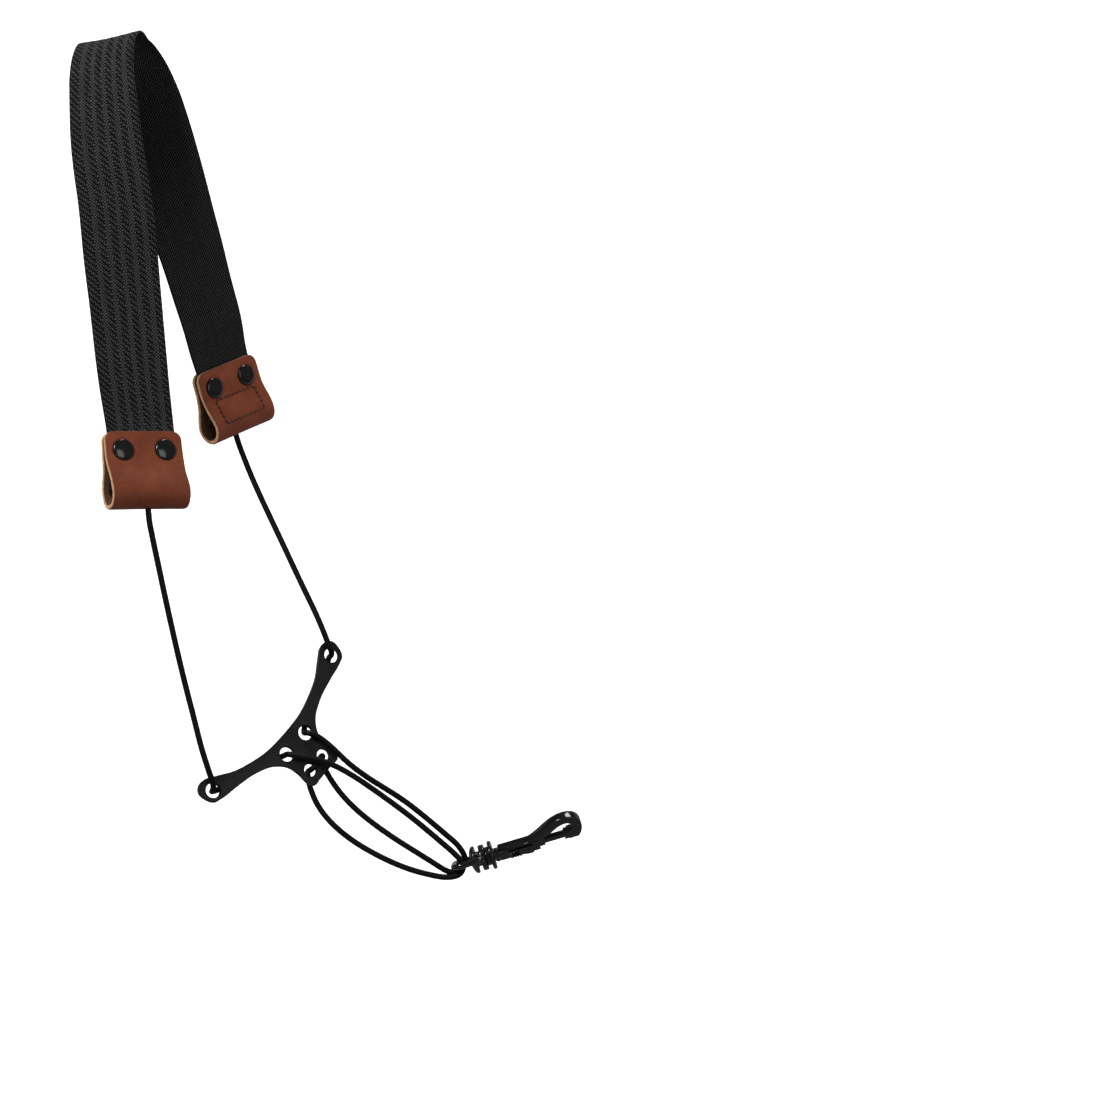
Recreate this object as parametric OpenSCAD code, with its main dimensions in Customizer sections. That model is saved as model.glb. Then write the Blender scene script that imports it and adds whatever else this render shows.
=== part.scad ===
// Saxophone neck strap: folded webbing band, two leather end tabs, one round
// cord, a V shaped slider yoke and a swivel snap hook with a sliding bolt.
// Millimetres. Origin at the top of the neck fold, +Z up, hanging as in use.
// The front tab lies towards -Y, the back tab towards +Y, the hook towards +X.

/* [Neck band] */
// Width of the woven band
web_w = 37.6; // [25:0.1:50]
// Thickness of the woven band
web_t = 1.3; // [0.8:0.1:2.5]
// Length of band held inside each leather tab
web_tuck = 24; // [18:0.5:26]

/* [Leather tabs] */
// Width of a tab
tab_w = 42.6; // [38:0.5:60]
// Height of the front tab
tab_h_front = 41; // [34:0.5:50]
// Height of the back tab
tab_h_back = 39; // [34:0.5:50]
// Thickness of the leather
leather_t = 2.15; // [1.5:0.05:3]
// Outer radius of the loop at the foot of a tab
loop_r = 8.5; // [7:0.1:10]
// Radius of the top corners
tab_corner_r = 5; // [1:0.5:10]
// Distance between the two rivets of a tab
rivet_pitch = 23.4; // [16:0.1:34]
// Rivets below the top edge of a tab
rivet_drop = 9.8; // [8:0.1:10]
// Diameter of a rivet cap
rivet_cap_d = 11.2; // [6:0.1:12]
// Diameter of a rivet post
rivet_post_d = 3.1; // [2:0.1:4]

/* [Stitching] */
// Width of the stitched rectangle
stitch_w = 28; // [18:0.5:34]
// Height of the stitched rectangle
stitch_h = 13.2; // [8:0.2:16]
// Distance from the top edge to the stitched rectangle
stitch_drop = 16.6; // [16.4:0.1:18]
// Spacing of the stitches
stitch_pitch = 2.7; // [1.5:0.1:4]
// Diameter of the thread
thread_d = 0.7; // [0.4:0.05:1]

/* [Cord] */
// Diameter of the braided cord
cord_d = 3.2; // [2:0.1:4]
// Sides drawn on a cord's section
cord_sides = 12; // [8:1:16]

/* [Yoke] */
// Thickness of the yoke plate
yoke_t = 2.8; // [2:0.1:4]
// Half the distance between the end holes
end_hole_q = 50; // [40:0.5:60]
// Diameter of the end holes
end_hole_d = 7.8; // [6:0.1:9]
// Half the distance between the centre holes
mid_hole_q = 7.9; // [6:0.1:10]
// Centre holes below the line of the end holes
mid_hole_p = 16.6; // [12:0.1:20]
// Diameter of the centre holes
mid_hole_d = 7.8; // [6:0.1:9]
// Half the distance between the tail holes
low_hole_q = 5.4; // [5:0.1:7]
// Tail holes below the line of the end holes
low_hole_p = 31.4; // [28:0.1:36]
// Diameter of the tail holes
low_hole_d = 6.8; // [5:0.1:7.5]

/* [Swivel eye] */
// Length from the end bar to the base of the eye
eye_len = 16.4; // [14:0.1:22]
// Half the distance between the side bars
eye_half_w = 9.8; // [9:0.1:14]
// Diameter of the bar
eye_bar_d = 3.4; // [2.5:0.1:4]
// Diameter of the boss in the base of the eye
eye_boss_d = 13.7; // [10:0.1:15]
// Thickness of the boss
eye_boss_t = 3; // [1.5:0.1:3]
// Diameter of the swivel rivet's head
swivel_head_d = 14.6; // [10:0.1:15.4]
// Diameter of the swivel rivet's stem
swivel_stem_d = 5; // [3:0.1:6]

/* [Hook] */
// Roll of the hook on its swivel at rest, in degrees
hook_roll = 38; // [-180:1:180]
// Width and height of the barrel
barrel_s = 6.2; // [5.8:0.1:8]
// Start of the barrel along the hook
barrel_x0 = 24.5; // [24:0.1:26]
// End of the barrel along the hook
barrel_x1 = 46.2; // [44:0.1:50]
// Width of the hook's arm
arm_w = 5.4; // [4:0.1:7]
// Diameter of the flange
flange_d = 15.2; // [10:0.1:16]
// Diameter of the sliding bolt
bolt_d = 4.1; // [3:0.05:5]
// Diameter of the bore that the bolt slides in
bolt_bore_d = 4.2; // [3.1:0.05:5.2]
// Diameter of the collar on the end of the barrel
collar_d = 6; // [5.2:0.1:8]
// Length of the thumb lug
lug_len = 13; // [8:0.5:13]
// Coils of the bolt spring
spring_turns = 7; // [4:1:9]
// Wire diameter of the bolt spring
spring_wire = 0.42; // [0.3:0.01:0.45]

/* [Hidden] */
$fn = 48;
leather = [0.48, 0.25, 0.18];
thread_brown = [0.2, 0.1, 0.06];
web_black = [0.075, 0.075, 0.08];
cord_black = [0.06, 0.06, 0.065];
plate_black = [0.14, 0.14, 0.145];
gloss_black = [0.03, 0.03, 0.035];
spring_grey = [0.5, 0.5, 0.52];

cord_r = cord_d / 2;
slot_t = web_t + 0.06;
tab_t = 2 * leather_t + slot_t;
leaf_drop = 15.6; // from the top edge to where the two leaves start to spread
cap_rim_h = 0.8;
cap_bevel_h = 0.7;
cap_bevel_inset = 1.4;
post_reach = 0.7; // of a rivet post into the loose cap

// Where each tab hangs: middle of its top edge, its width direction, and down.
front_top = [15.6, -8, -203.2];
front_wide = unit([cos(33), sin(33), 0.02]);
front_down = square_to([0.065, -0.178, -0.978], front_wide);
back_top = [51, 45, -164.8];
back_wide = unit([0.639, 0.710, 0.345]);
back_down = square_to([0.235, 0.246, -0.940], back_wide);

// Where the cord leaves the foot of each tab, measured across the tab.
front_exit_x = 0;
back_exit_x = -3.8;
front_exit = front_top + tab_h_front * front_down + front_exit_x * front_wide;
back_exit = back_top + tab_h_back * back_down + back_exit_x * back_wide;

// Yoke frame: middle of the line of end holes, pull direction, end to end, face.
yoke_mid = [80.25, 20, -353.2];
yoke_across = unit([0.569, 0.469, 0.675]);
yoke_pull = square_to([0.712, 0.1287, -0.690], yoke_across);
yoke_face = cross(yoke_pull, yoke_across);

// Eye frame: middle of the end bar, hook axis, end bar direction, up.
eye_mid = [174.8, 30, -429.4];
eye_axis = [cos(16.6), 0, sin(16.6)];
eye_side = [0, 1, 0];
eye_up = cross(eye_axis, eye_side);
strand_y = 2.3; // each cord turn from the middle of the end bar

// Stations along the hook axis, from the end bar of the eye.
boss_x1 = eye_len + 1;
boss_x0 = boss_x1 - eye_boss_t;
head_x1 = 12.4;
flange_x0 = 19.6;
cross_pin_x = 23.2;
stem_x1 = 26;
bore_x0 = 27;
lug_x0 = 29.6;
slot_x0 = 31.6;
slot_x1 = 41.6;
bolt_x0 = 38;
bolt_x1 = 60.3; // start of the chamfered tip
lug_pin_x = 40.6;

swivel_gap = 0.06;
bore_r = bolt_bore_d / 2;
cross_pin_r = 0.9;
cross_pin_hole_r = 0.92;
slot_r = 1.1;
lug_pin_r = 0.8;
lug_pin_hole_r = 0.82;

// ---- Vectors and frames ----
function unit(v) = v / norm(v);
// The direction of v with its part along a unit axis taken out.
function square_to(v, axis) = unit(v - (v * axis) * axis);
// Points given in the yoke's and the eye's own frames.
function yoke_at(p, q, n) = yoke_mid + p * yoke_pull + q * yoke_across + n * yoke_face;
function eye_at(x, y, z) = eye_mid + x * eye_axis + y * eye_side + z * eye_up;
function eye_far(x, z) = eye_at(x, strand_y, z);
function eye_near(x, z) = eye_at(x, -strand_y, z);
// Points on the axes of the yoke's holes, n out from the middle of the plate.
function end_hole(side, n) = yoke_at(0, side * end_hole_q, n);
function mid_hole(side, n) = yoke_at(mid_hole_p, side * mid_hole_q, n);
function low_hole(side, n) = yoke_at(low_hole_p, side * low_hole_q, n);

module place(origin, x, y) {
  z = cross(x, y);
  multmatrix([
    [x[0], y[0], z[0], origin[0]],
    [x[1], y[1], z[1], origin[1]],
    [x[2], y[2], z[2], origin[2]],
    [0, 0, 0, 1]])
    children();
}
// In a tab's frame X runs across, Y through the leather and Z up from the top edge.
module at_front_tab() { place(front_top, front_wide, cross(-front_down, front_wide)) children(); }
module at_back_tab() { place(back_top, back_wide, cross(-back_down, back_wide)) children(); }
module at_yoke() { place(yoke_mid, yoke_pull, yoke_across) children(); }
module at_eye() { place(eye_mid, eye_axis, eye_side) children(); }
module at_hook() { at_eye() rotate([hook_roll, 0, 0]) children(); }
// Turn a child built along +Z to run along +X from x.
module along_x(x) { translate([x, 0, 0]) rotate([0, 90, 0]) children(); }
// The same, along -Y from y, at x.
module along_y(x, y = 0) { translate([x, y, 0]) rotate([90, 0, 0]) children(); }

// ---- Curves and skins ----
// Slope at b of a curve through a, b and c, for a span of the given length.
// Weighting by distance keeps uneven spans from overshooting.
function slope(a, b, c, length) =
  let (before = norm(b - a), after = norm(c - b))
  before < 1e-6 ? c - b
  : after < 1e-6 ? b - a
  : ((b - a) / before * after + (c - b) / after * before) / (before + after) * length;
// Point at t (0 to 1) between b and c.
function curve_point(a, b, c, d, t) =
  let (length = norm(c - b), m0 = slope(a, b, c, length), m1 = slope(b, c, d, length))
  (2 * t * t * t - 3 * t * t + 1) * b + (t * t * t - 2 * t * t + t) * m0
  + (3 * t * t - 2 * t * t * t) * c + (t * t * t - t * t) * m1;
function span(p, i, steps) = [for (j = [0:steps - 1])
  curve_point(p[max(i - 1, 0)], p[i], p[i + 1], p[min(i + 2, len(p) - 1)], j / steps)];
function smooth(p, steps) =
  concat([for (i = [0:len(p) - 2]) each span(p, i, steps)], [p[len(p) - 1]]);
// The same, leaving out the first and last spans, which only set the end directions.
function smooth_inner(p, steps) =
  concat([for (i = [1:len(p) - 3]) each span(p, i, steps)], [p[len(p) - 2]]);
function smooth_closed(p, steps) =
  let (n = len(p))
  [for (i = [0:n - 1]) for (j = [0:steps - 1])
    curve_point(p[(i + n - 1) % n], p[i], p[(i + 1) % n], p[(i + 2) % n], j / steps)];
function tangents(p) =
  [for (i = [0:len(p) - 1]) unit(p[min(i + 1, len(p) - 1)] - p[max(i - 1, 0)])];
// A normal carried along the tangents without twisting.
function carried(tangent, start) =
  [for (i = 0, u = square_to(start, tangent[0]); i < len(tangent);
    i = i + 1, u = i < len(tangent) ? square_to(u, tangent[i]) : u) u];

// Skin a list of equal rings of points into one closed solid.
module skin(rings) {
  m = len(rings[0]);
  n = len(rings);
  // Each wall cell: corner a, its neighbour b round the ring.
  cells = [for (i = [0:n - 2]) for (j = [0:m - 1]) [i * m + j, i * m + (j + 1) % m]];
  polyhedron(
    points = [for (r = rings) each r],
    faces = concat(
      [[for (j = [0:m - 1]) j]],
      [for (c = cells) [c[0] + m, c[1] + m, c[1]]],
      [for (c = cells) [c[0] + m, c[1], c[0]]],
      [[for (j = [m - 1:-1:0]) (n - 1) * m + j]]));
}
module tube(path, r, sides, start_normal) {
  t = tangents(path);
  u = carried(t, start_normal);
  skin([for (i = [0:len(path) - 1])
    let (v = cross(t[i], u[i]))
    [for (j = [0:sides - 1])
      path[i] + r * (cos(360 * j / sides) * u[i] + sin(360 * j / sides) * v)]]);
}
module cord(points, start_normal = [0.3, 1, 0.2]) {
  tube(smooth(points, 4), cord_r, cord_sides, start_normal);
}

// ---- Neck band ----
// Centre line from the front tab over the neck to the back tab: x, y, z, then
// the heading of the width direction in degrees and its rise.
band_stations = [
  [12.4, -9.5, -176.6, 28, 0], [9.5, -11, -147, 22, 0], [6.2, -12, -114.7, 14, 0],
  [3.3, -13, -85.5, 5, 0], [0.1, -13, -64.6, -5, 0], [-2.5, -12.8, -38.6, -14, 0],
  [-3.6, -11.6, -16, -23, 0], [-2.8, -7.6, -4.4, -28, 0.06], [-0.9, 0, 0, -31, 0.13],
  [2.1, 7.6, -2.7, -28, 0.06], [7.5, 12.2, -11.5, -22, 0], [13.3, 14.4, -25.6, -11, 0],
  [18, 16, -41.3, 3, 0], [26, 19, -68.2, 17, 0], [33.2, 23, -93.8, 29, 0],
  [38.2, 26.6, -110.8, 35, 0], [42.8, 31, -128.5, 39, 0.05], [47.4, 37, -146.3, 43, 0.18]];
band_points = concat(
  [front_top + 12 * front_down, front_top - 3 * front_down],
  [for (s = band_stations) [s[0], s[1], s[2]]],
  [back_top - 3 * back_down, back_top + 12 * back_down]);
band_wide = concat(
  [front_wide, front_wide],
  [for (s = band_stations) [cos(s[3]), sin(s[3]), s[4]]],
  [back_wide, back_wide]);

module neck_webbing() {
  path = concat(
    [front_top + web_tuck * front_down, front_top + 2 * front_down],
    smooth_inner(band_points, 5),
    [back_top + 2 * back_down, back_top + web_tuck * back_down]);
  wide = concat([front_wide, front_wide], smooth_inner(band_wide, 5), [back_wide, back_wide]);
  t = tangents(path);
  color(web_black) difference() {
    skin([for (i = [0:len(path) - 1])
      let (across = square_to(wide[i], t[i]),
        a = web_w / 2 * across,
        b = web_t / 2 * cross(t[i], across))
      [path[i] - a - b, path[i] + a - b, path[i] + a + b, path[i] - a + b]]);
    at_front_tab() rivet_holes();
    at_back_tab() rivet_holes();
  }
}

// ---- Leather tabs ----
// Side outline of a tab: straight sides half_t from the middle, from top_z down
// to straight_drop, then tangents to a round foot centred foot_drop down.
function tab_outline(half_t, top_z, straight_drop, foot_drop, foot_r) =
  let (fall = foot_drop - straight_drop,
    start = atan2(fall, half_t) - acos(foot_r / norm([half_t, fall])))
  concat(
    [[-half_t, -straight_drop], [-half_t, top_z], [half_t, top_z], [half_t, -straight_drop]],
    [for (i = [0:28])
      let (a = start - i * (180 + 2 * start) / 28)
      [foot_r * cos(a), foot_r * sin(a) - foot_drop]]);
function outer_outline(h) = tab_outline(tab_t / 2, 0, leaf_drop, h - loop_r, loop_r);
function inside_outline(h) =
  tab_outline(slot_t / 2, 1, leaf_drop + 1, h - loop_r, loop_r - leather_t);

// What a rounded top corner takes off, on one side.
module corner_cut(side) {
  r = tab_corner_r;
  translate([side * (tab_w / 2 - r), 0, -r]) difference() {
    translate([side > 0 ? 0 : -r - 1, -20, 0]) cube([r + 1, 40, r + 1]);
    rotate([90, 0, 0]) cylinder(h = 50, r = r, center = true);
  }
}
module at_rivets() {
  for (side = [-1, 1]) translate([side * rivet_pitch / 2, 0, -rivet_drop]) children();
}
module rivet_holes() {
  at_rivets() rotate([90, 0, 0]) cylinder(h = 20, r = rivet_post_d / 2 + 0.05, center = true);
}
module tab_leather(h, exit_x) {
  difference() {
    rotate([90, 0, 90]) linear_extrude(tab_w, center = true) polygon(outer_outline(h));
    rotate([90, 0, 90]) linear_extrude(tab_w + 2, center = true) polygon(inside_outline(h));
    for (side = [-1, 1]) corner_cut(side);
    rivet_holes();
    translate([exit_x, 0, -h - 2]) cylinder(h = leather_t + 4, r = cord_r + 0.15);
  }
}
module cap_shape() {
  r = rivet_cap_d / 2;
  cylinder(h = cap_rim_h, r = r);
  translate([0, 0, cap_rim_h]) cylinder(h = cap_bevel_h, r1 = r, r2 = r - cap_bevel_inset);
}
// face = 1 puts the post's own cap on +Y of the tab, -1 on -Y.
module rivet_posts(face) {
  at_rivets() rotate([-90 * face, 0, 0]) {
    translate([0, 0, -tab_t / 2 - post_reach])
      cylinder(h = tab_t + post_reach + 0.1, r = rivet_post_d / 2);
    translate([0, 0, tab_t / 2]) cap_shape();
  }
}
// The loose caps, on the opposite face to the posts' own.
module rivet_caps(face) {
  at_rivets() rotate([90 * face, 0, 0]) translate([0, 0, tab_t / 2]) difference() {
    cap_shape();
    translate([0, 0, -1]) cylinder(h = post_reach + 1.05, r = rivet_post_d / 2 + 0.02);
  }
}
// Stitched rectangle on the leaf that faces +Y (face = 1) or -Y (-1) of the tab.
module tab_stitching(h, face) {
  foot_start = outer_outline(h)[4];
  lean = atan2(foot_start[0] - tab_t / 2, -leaf_drop - foot_start[1]);
  columns = floor(stitch_w / stitch_pitch);
  rows = floor(stitch_h / stitch_pitch);
  dx = stitch_w / columns;
  dz = stitch_h / rows;
  top = leaf_drop - stitch_drop;
  translate([0, face * (tab_t / 2 + 0.08), -leaf_drop]) rotate([face * lean, 0, 0]) {
    for (i = [0:columns - 1]) for (z = [top, top - stitch_h])
      translate([-stitch_w / 2 + (i + 0.5) * dx, 0, z]) rotate([0, 90, 0])
        cylinder(h = dx * 0.74, r = thread_d / 2, center = true);
    for (i = [0:rows - 1]) for (side = [-1, 1])
      translate([side * stitch_w / 2, 0, top - (i + 0.5) * dz])
        cylinder(h = dz * 0.72, r = thread_d / 2, center = true);
  }
}
// Ball knot inside the loop, with the cord through the leather.
module cord_knot(h, exit_x) {
  translate([exit_x, 0, -h + leather_t + 4.4]) sphere(4.1);
  translate([exit_x, 0, -h]) cylinder(h = leather_t + 3, r = cord_r);
}

module front_tab_leather() { color(leather) at_front_tab() tab_leather(tab_h_front, front_exit_x); }
module front_tab_rivet_posts() { color(gloss_black) at_front_tab() rivet_posts(1); }
module front_tab_rivet_caps() { color(gloss_black) at_front_tab() rivet_caps(1); }
module front_tab_stitching() { color(thread_brown) at_front_tab() tab_stitching(tab_h_front, 1); }
module front_cord_knot() { color(cord_black) at_front_tab() cord_knot(tab_h_front, front_exit_x); }
module back_tab_leather() { color(leather) at_back_tab() tab_leather(tab_h_back, back_exit_x); }
module back_tab_rivet_posts() { color(gloss_black) at_back_tab() rivet_posts(-1); }
module back_tab_rivet_caps() { color(gloss_black) at_back_tab() rivet_caps(-1); }
module back_tab_stitching() { color(thread_brown) at_back_tab() tab_stitching(tab_h_back, -1); }
module back_cord_knot() { color(cord_black) at_back_tab() cord_knot(tab_h_back, back_exit_x); }

// ---- The one cord, in lengths that move differently ----
module front_upper_cord() {
  color(cord_black) cord([
    front_exit + 2 * front_down, front_exit + 7 * unit([0.1, -0.06, -1]),
    front_exit + 16 * unit([0.16, 0.02, -1]), [31.2, -11.5, -299.2],
    [39.2, -9.5, -334.5], [44.6, -9.6, -355], [48.6, -10.2, -371],
    yoke_at(-4.2, -47.4, 5.2), yoke_at(-1.6, -49.2, 4.4), yoke_at(-0.1, -50, 2.6),
    end_hole(-1, 1.5)]);
}
module back_upper_cord() {
  color(cord_black) cord([
    back_exit + 2 * back_down, back_exit + 7 * unit([0.33, -0.02, -1]),
    [84.6, 46, -263.4], [96.5, 42.5, -288], [104.2, 40, -303.4],
    yoke_at(-4.4, 51, 5.2), yoke_at(-1.6, 50.4, 4.2), yoke_at(-0.1, 50, 2.6),
    end_hole(1, 1.5)]);
}
module end_hole_cord_bights() {
  color(cord_black) at_yoke() for (side = [-1, 1])
    translate([0, side * end_hole_q, -0.5]) cylinder(h = 1.5, r = cord_r);
}
module rear_cord_runs() {
  color(cord_black) for (side = [-1, 1])
    cord([
      end_hole(side, -1.6), yoke_at(0.2, side * 49.7, -3), yoke_at(2.2, side * 46.6, -4.6),
      yoke_at(8, side * 31, -4.4), yoke_at(14, side * 13.5, -4.4), yoke_at(16, side * 9, -3.4),
      mid_hole(side, -0.4), mid_hole(side, 0.9)], yoke_face);
}
module tail_cord_bridge() {
  color(cord_black) cord([
    low_hole(-1, -2.2), low_hole(-1, -1), yoke_at(31.4, -5.2, 1.6),
    yoke_at(31.7, -3.4, 3.5), yoke_at(31.8, 0, 4.1), yoke_at(31.7, 3.4, 3.5),
    yoke_at(31.4, 5.2, 1.6), low_hole(1, -1), low_hole(1, -2.2)], [0.7, 0.1, -0.7]);
}
module upper_strand_far() {
  color(cord_black) cord([
    mid_hole(1, 1.3), yoke_at(16.7, 7.9, 2.6), yoke_at(19.4, 8.9, 4.9), yoke_at(24, 10.9, 5.5),
    [117.7, 27, -373.9], [131.2, 28.5, -384], [146.3, 30, -393.4],
    [159.5, 31.2, -403.8], [169.3, 32, -412.3],
    eye_far(3.4, 12.6), eye_far(5.2, 8.6), eye_far(5.9, 6.2)]);
}
module upper_strand_near() {
  color(cord_black) cord([
    mid_hole(-1, 1.3), yoke_at(16.7, -7.9, 2.6), yoke_at(19.2, -7.4, 5),
    yoke_at(23, -5.6, 6.4), yoke_at(28.5, -1, 7.2),
    [122.5, 22, -381.4], [135.9, 24.2, -391], [147.5, 26, -399.6],
    [158.4, 27.2, -408.4], [167.8, 27.7, -416.5],
    eye_near(0.9, 8.4), eye_near(2.6, 5.3)]);
}
module lower_strand_far() {
  color(cord_black) cord([
    low_hole(1, -2.6), yoke_at(31.5, 5.4, -3.8), yoke_at(33, 5.2, -6),
    [107.2, 32.6, -380.4], [113, 33, -389.6], [122.1, 33, -399.4],
    [135.8, 32.8, -410.2], [147.8, 32.5, -418.2], [160, 32.3, -425.6],
    eye_far(-6.9, 0.5), eye_far(-4.4, -1.9), eye_far(-2.8, -2.9)]);
}
module lower_strand_near() {
  color(cord_black) cord([
    low_hole(-1, -2.6), yoke_at(31.5, -5.4, -3.8), yoke_at(32.6, -5.4, -6),
    [99.4, 27.2, -390], [102.8, 27.2, -397.4], [109, 27.2, -405.4], [122.3, 27.3, -416.5],
    [135.8, 27.5, -424.2], [148, 27.6, -429.8], [159.9, 27.7, -433.4],
    eye_near(-6.75, -3.9), eye_near(-3, -4.85)]);
}
module eye_cord_turns() {
  color(cord_black) {
    cord([
      eye_far(6.02, 5.8), eye_far(6.45, 3.9), eye_far(6.2, 1), eye_far(4.8, -1.8),
      eye_far(2.4, -3.6), eye_far(-0.6, -4), eye_far(-2.4, -3.15)], eye_side);
    cord([
      eye_near(2.8, 4.95), eye_near(3.9, 3), eye_near(4.6, 0.9), eye_near(4.6, -1.2),
      eye_near(3.3, -3.6), eye_near(1, -4.9), eye_near(-2.6, -4.95)], eye_side);
  }
}

// ---- Yoke ----
// Half outline as [across, along the pull], from the top middle round to the tail middle.
yoke_half = [
  [6, 8.4], [13, 7.9], [24.5, 5.2], [34.5, 1.5], [43.7, -4.2], [48.6, -7], [53, -7.2],
  [56.2, -4.6], [56.2, 0.2], [53.8, 4.9], [50, 6.3], [39.5, 8.2], [26.8, 11.3],
  [17.2, 16.2], [12.6, 22], [11.4, 29.3], [11.6, 35], [9.6, 38.6], [5.6, 38.5]];
// Holes, drilled in pairs: along the pull, half spacing, diameter.
yoke_holes = [
  [0, end_hole_q, end_hole_d],
  [mid_hole_p, mid_hole_q, mid_hole_d],
  [low_hole_p, low_hole_q, low_hole_d]];

module yoke_plate() {
  outline = smooth_closed(concat(
    [for (k = yoke_half) [k[1], k[0]]],
    [for (i = [len(yoke_half) - 1:-1:0]) [yoke_half[i][1], -yoke_half[i][0]]]), 3);
  color(plate_black) at_yoke() difference() {
    linear_extrude(yoke_t, center = true) polygon(outline);
    for (side = [-1, 1]) for (hole = yoke_holes)
      translate([hole[0], side * hole[1], 0]) cylinder(h = 10, d = hole[2], center = true);
  }
}

// ---- Swivel ----
// Swivel eye: a closed loop of round bar with a bored boss in its base.
module swivel_eye() {
  corner_r = 4;
  bar_r = eye_bar_d / 2;
  corner_y = eye_half_w - corner_r;
  stub_y = 5.6; // inner end of the short bars beside the boss
  stub_len = corner_y - stub_y;
  module corner(x, y, turn) {
    translate([x, y, 0]) rotate([0, 0, turn])
      rotate_extrude(angle = 90) translate([corner_r, 0]) circle(bar_r);
  }
  color(gloss_black) at_eye() difference() {
    union() {
      rotate([90, 0, 0]) cylinder(h = 2 * corner_y + 0.02, r = bar_r, center = true);
      for (side = [-1, 1]) {
        translate([corner_r, side * eye_half_w, 0]) rotate([0, 90, 0])
          cylinder(h = eye_len - 2 * corner_r, r = bar_r);
        corner(corner_r, side * corner_y, side > 0 ? 90 : 180);
        corner(eye_len - corner_r, side * corner_y, side > 0 ? 0 : -90);
        along_y(eye_len, side * (stub_y + stub_len / 2))
          cylinder(h = stub_len + 0.02, r = bar_r, center = true);
      }
      along_x(boss_x0) cylinder(h = eye_boss_t, d = eye_boss_d);
    }
    along_x(eye_len - 5) cylinder(h = 10, r = swivel_stem_d / 2 + swivel_gap);
  }
}
module cross_pin_hole() {
  translate([cross_pin_x, 0, 0]) cylinder(h = 20, r = cross_pin_hole_r, center = true);
}
module swivel_rivet() {
  cone_t = 1.4;
  rim_t = 2.2;
  rim_x0 = head_x1 - rim_t;
  color(gloss_black) at_hook() difference() {
    union() {
      along_x(rim_x0 - cone_t) cylinder(h = cone_t, d1 = swivel_head_d - 4, d2 = swivel_head_d);
      along_x(rim_x0) cylinder(h = rim_t, d = swivel_head_d);
      along_x(head_x1) cylinder(h = boss_x0 - head_x1 - 0.08, d = 8); // shoulder
      along_x(head_x1) cylinder(h = stem_x1 - head_x1, d = swivel_stem_d);
    }
    cross_pin_hole();
  }
}
module swivel_washer() {
  x0 = boss_x1 + swivel_gap;
  color(gloss_black) at_hook() along_x(x0) difference() {
    cylinder(h = flange_x0 - swivel_gap - x0, d = 10);
    translate([0, 0, -1]) cylinder(h = 5, r = swivel_stem_d / 2 + swivel_gap);
  }
}
module swivel_cross_pin() {
  head_r = 1.5;
  color(gloss_black) at_hook() translate([cross_pin_x, 0, 0]) {
    translate([0, 0, -4.6]) cylinder(h = 7.9, r = cross_pin_r);
    translate([0, 0, -5.2]) cylinder(h = 0.9, r1 = cross_pin_r, r2 = head_r);
    translate([0, 0, -4.3]) cylinder(h = 0.9, r = head_r);
  }
}

// ---- Hook ----
// Arm outline as [x, z]: outer edge from the barrel round to the nose, then
// the foot of the nose, then the inner edge back to the barrel.
arm_outer = [
  [37.5, 2.9], [42, 4], [46, 6.1], [50.6, 9], [55.4, 11.6], [59.9, 12.9],
  [64.5, 12.8], [68.1, 11.1], [70.1, 7.8], [70.3, 3.6], [69.2, 0]];
nose_foot = [[67.4, -2.4], [62, -2.4], [62, 3]];
arm_inner = [
  [64.2, 3], [65.2, 5], [64.8, 7.3], [62.6, 8.6], [59.6, 8.3],
  [56.4, 6.9], [53.4, 5], [51, 3.8], [49, 3]];

module hook_body() {
  color(gloss_black) at_hook() difference() {
    union() {
      along_x(flange_x0) cylinder(h = 2, d = flange_d);
      along_x(21) cylinder(h = barrel_x0 - 20.5, d = barrel_s); // neck
      translate([barrel_x0, -barrel_s / 2, -barrel_s / 2])
        cube([barrel_x1 - barrel_x0, barrel_s, barrel_s]);
      along_x(barrel_x1 - 1) cylinder(h = 4, d = collar_d);
      rotate([90, 0, 0]) linear_extrude(arm_w, center = true)
        polygon(concat(
          smooth(arm_outer, 4), nose_foot, smooth(arm_inner, 4), [[49, 0], [37.5, 0]]));
      along_x(60) cylinder(h = 7, r = 3.1); // round of the nose
    }
    along_x(18) cylinder(h = stem_x1 + 0.1 - 18, r = swivel_stem_d / 2 + 0.01);
    cross_pin_hole();
    along_x(bore_x0) cylinder(h = 30, r = bore_r);
    along_x(59) cylinder(h = 2.4, r = bore_r + 0.1); // socket for the bolt's tip
    // Slot in the -Y side for the lug's pin
    translate([slot_x0, -6, -slot_r]) cube([slot_x1 - slot_x0, 6, 2 * slot_r]);
    for (x = [slot_x0, slot_x1]) along_y(x) cylinder(h = 6, r = slot_r);
  }
}
module bolt() {
  r = bolt_d / 2;
  chamfer = 0.8;
  color(gloss_black) at_hook() difference() {
    union() {
      along_x(bolt_x0) cylinder(h = bolt_x1 - bolt_x0, r = r);
      along_x(bolt_x1) cylinder(h = chamfer, r1 = r, r2 = r - chamfer);
    }
    along_y(lug_pin_x, -4) cylinder(h = 5.2, r = lug_pin_hole_r, center = true);
  }
}
module bolt_spring() {
  coil_r = bore_r - 0.1 - spring_wire / 2;
  x0 = bore_x0 + 0.05 + spring_wire / 2;
  x1 = bolt_x0 - 0.05 - spring_wire / 2;
  steps = 12 * (spring_turns + 1);
  // Share of the length reached at k of the winding, closer wound at both ends.
  function advance(k) =
    k < 0.1 ? k * 0.5 : k > 0.9 ? 1 - (1 - k) * 0.5 : 0.05 + (k - 0.1) * 1.125;
  path = [for (i = [0:steps])
    [x0 + (x1 - x0) * advance(i / steps), coil_r * cos(i * 30), coil_r * sin(i * 30)]];
  color(spring_grey) at_hook() tube(path, spring_wire / 2, 6, [0, 1, 0]);
}
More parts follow.
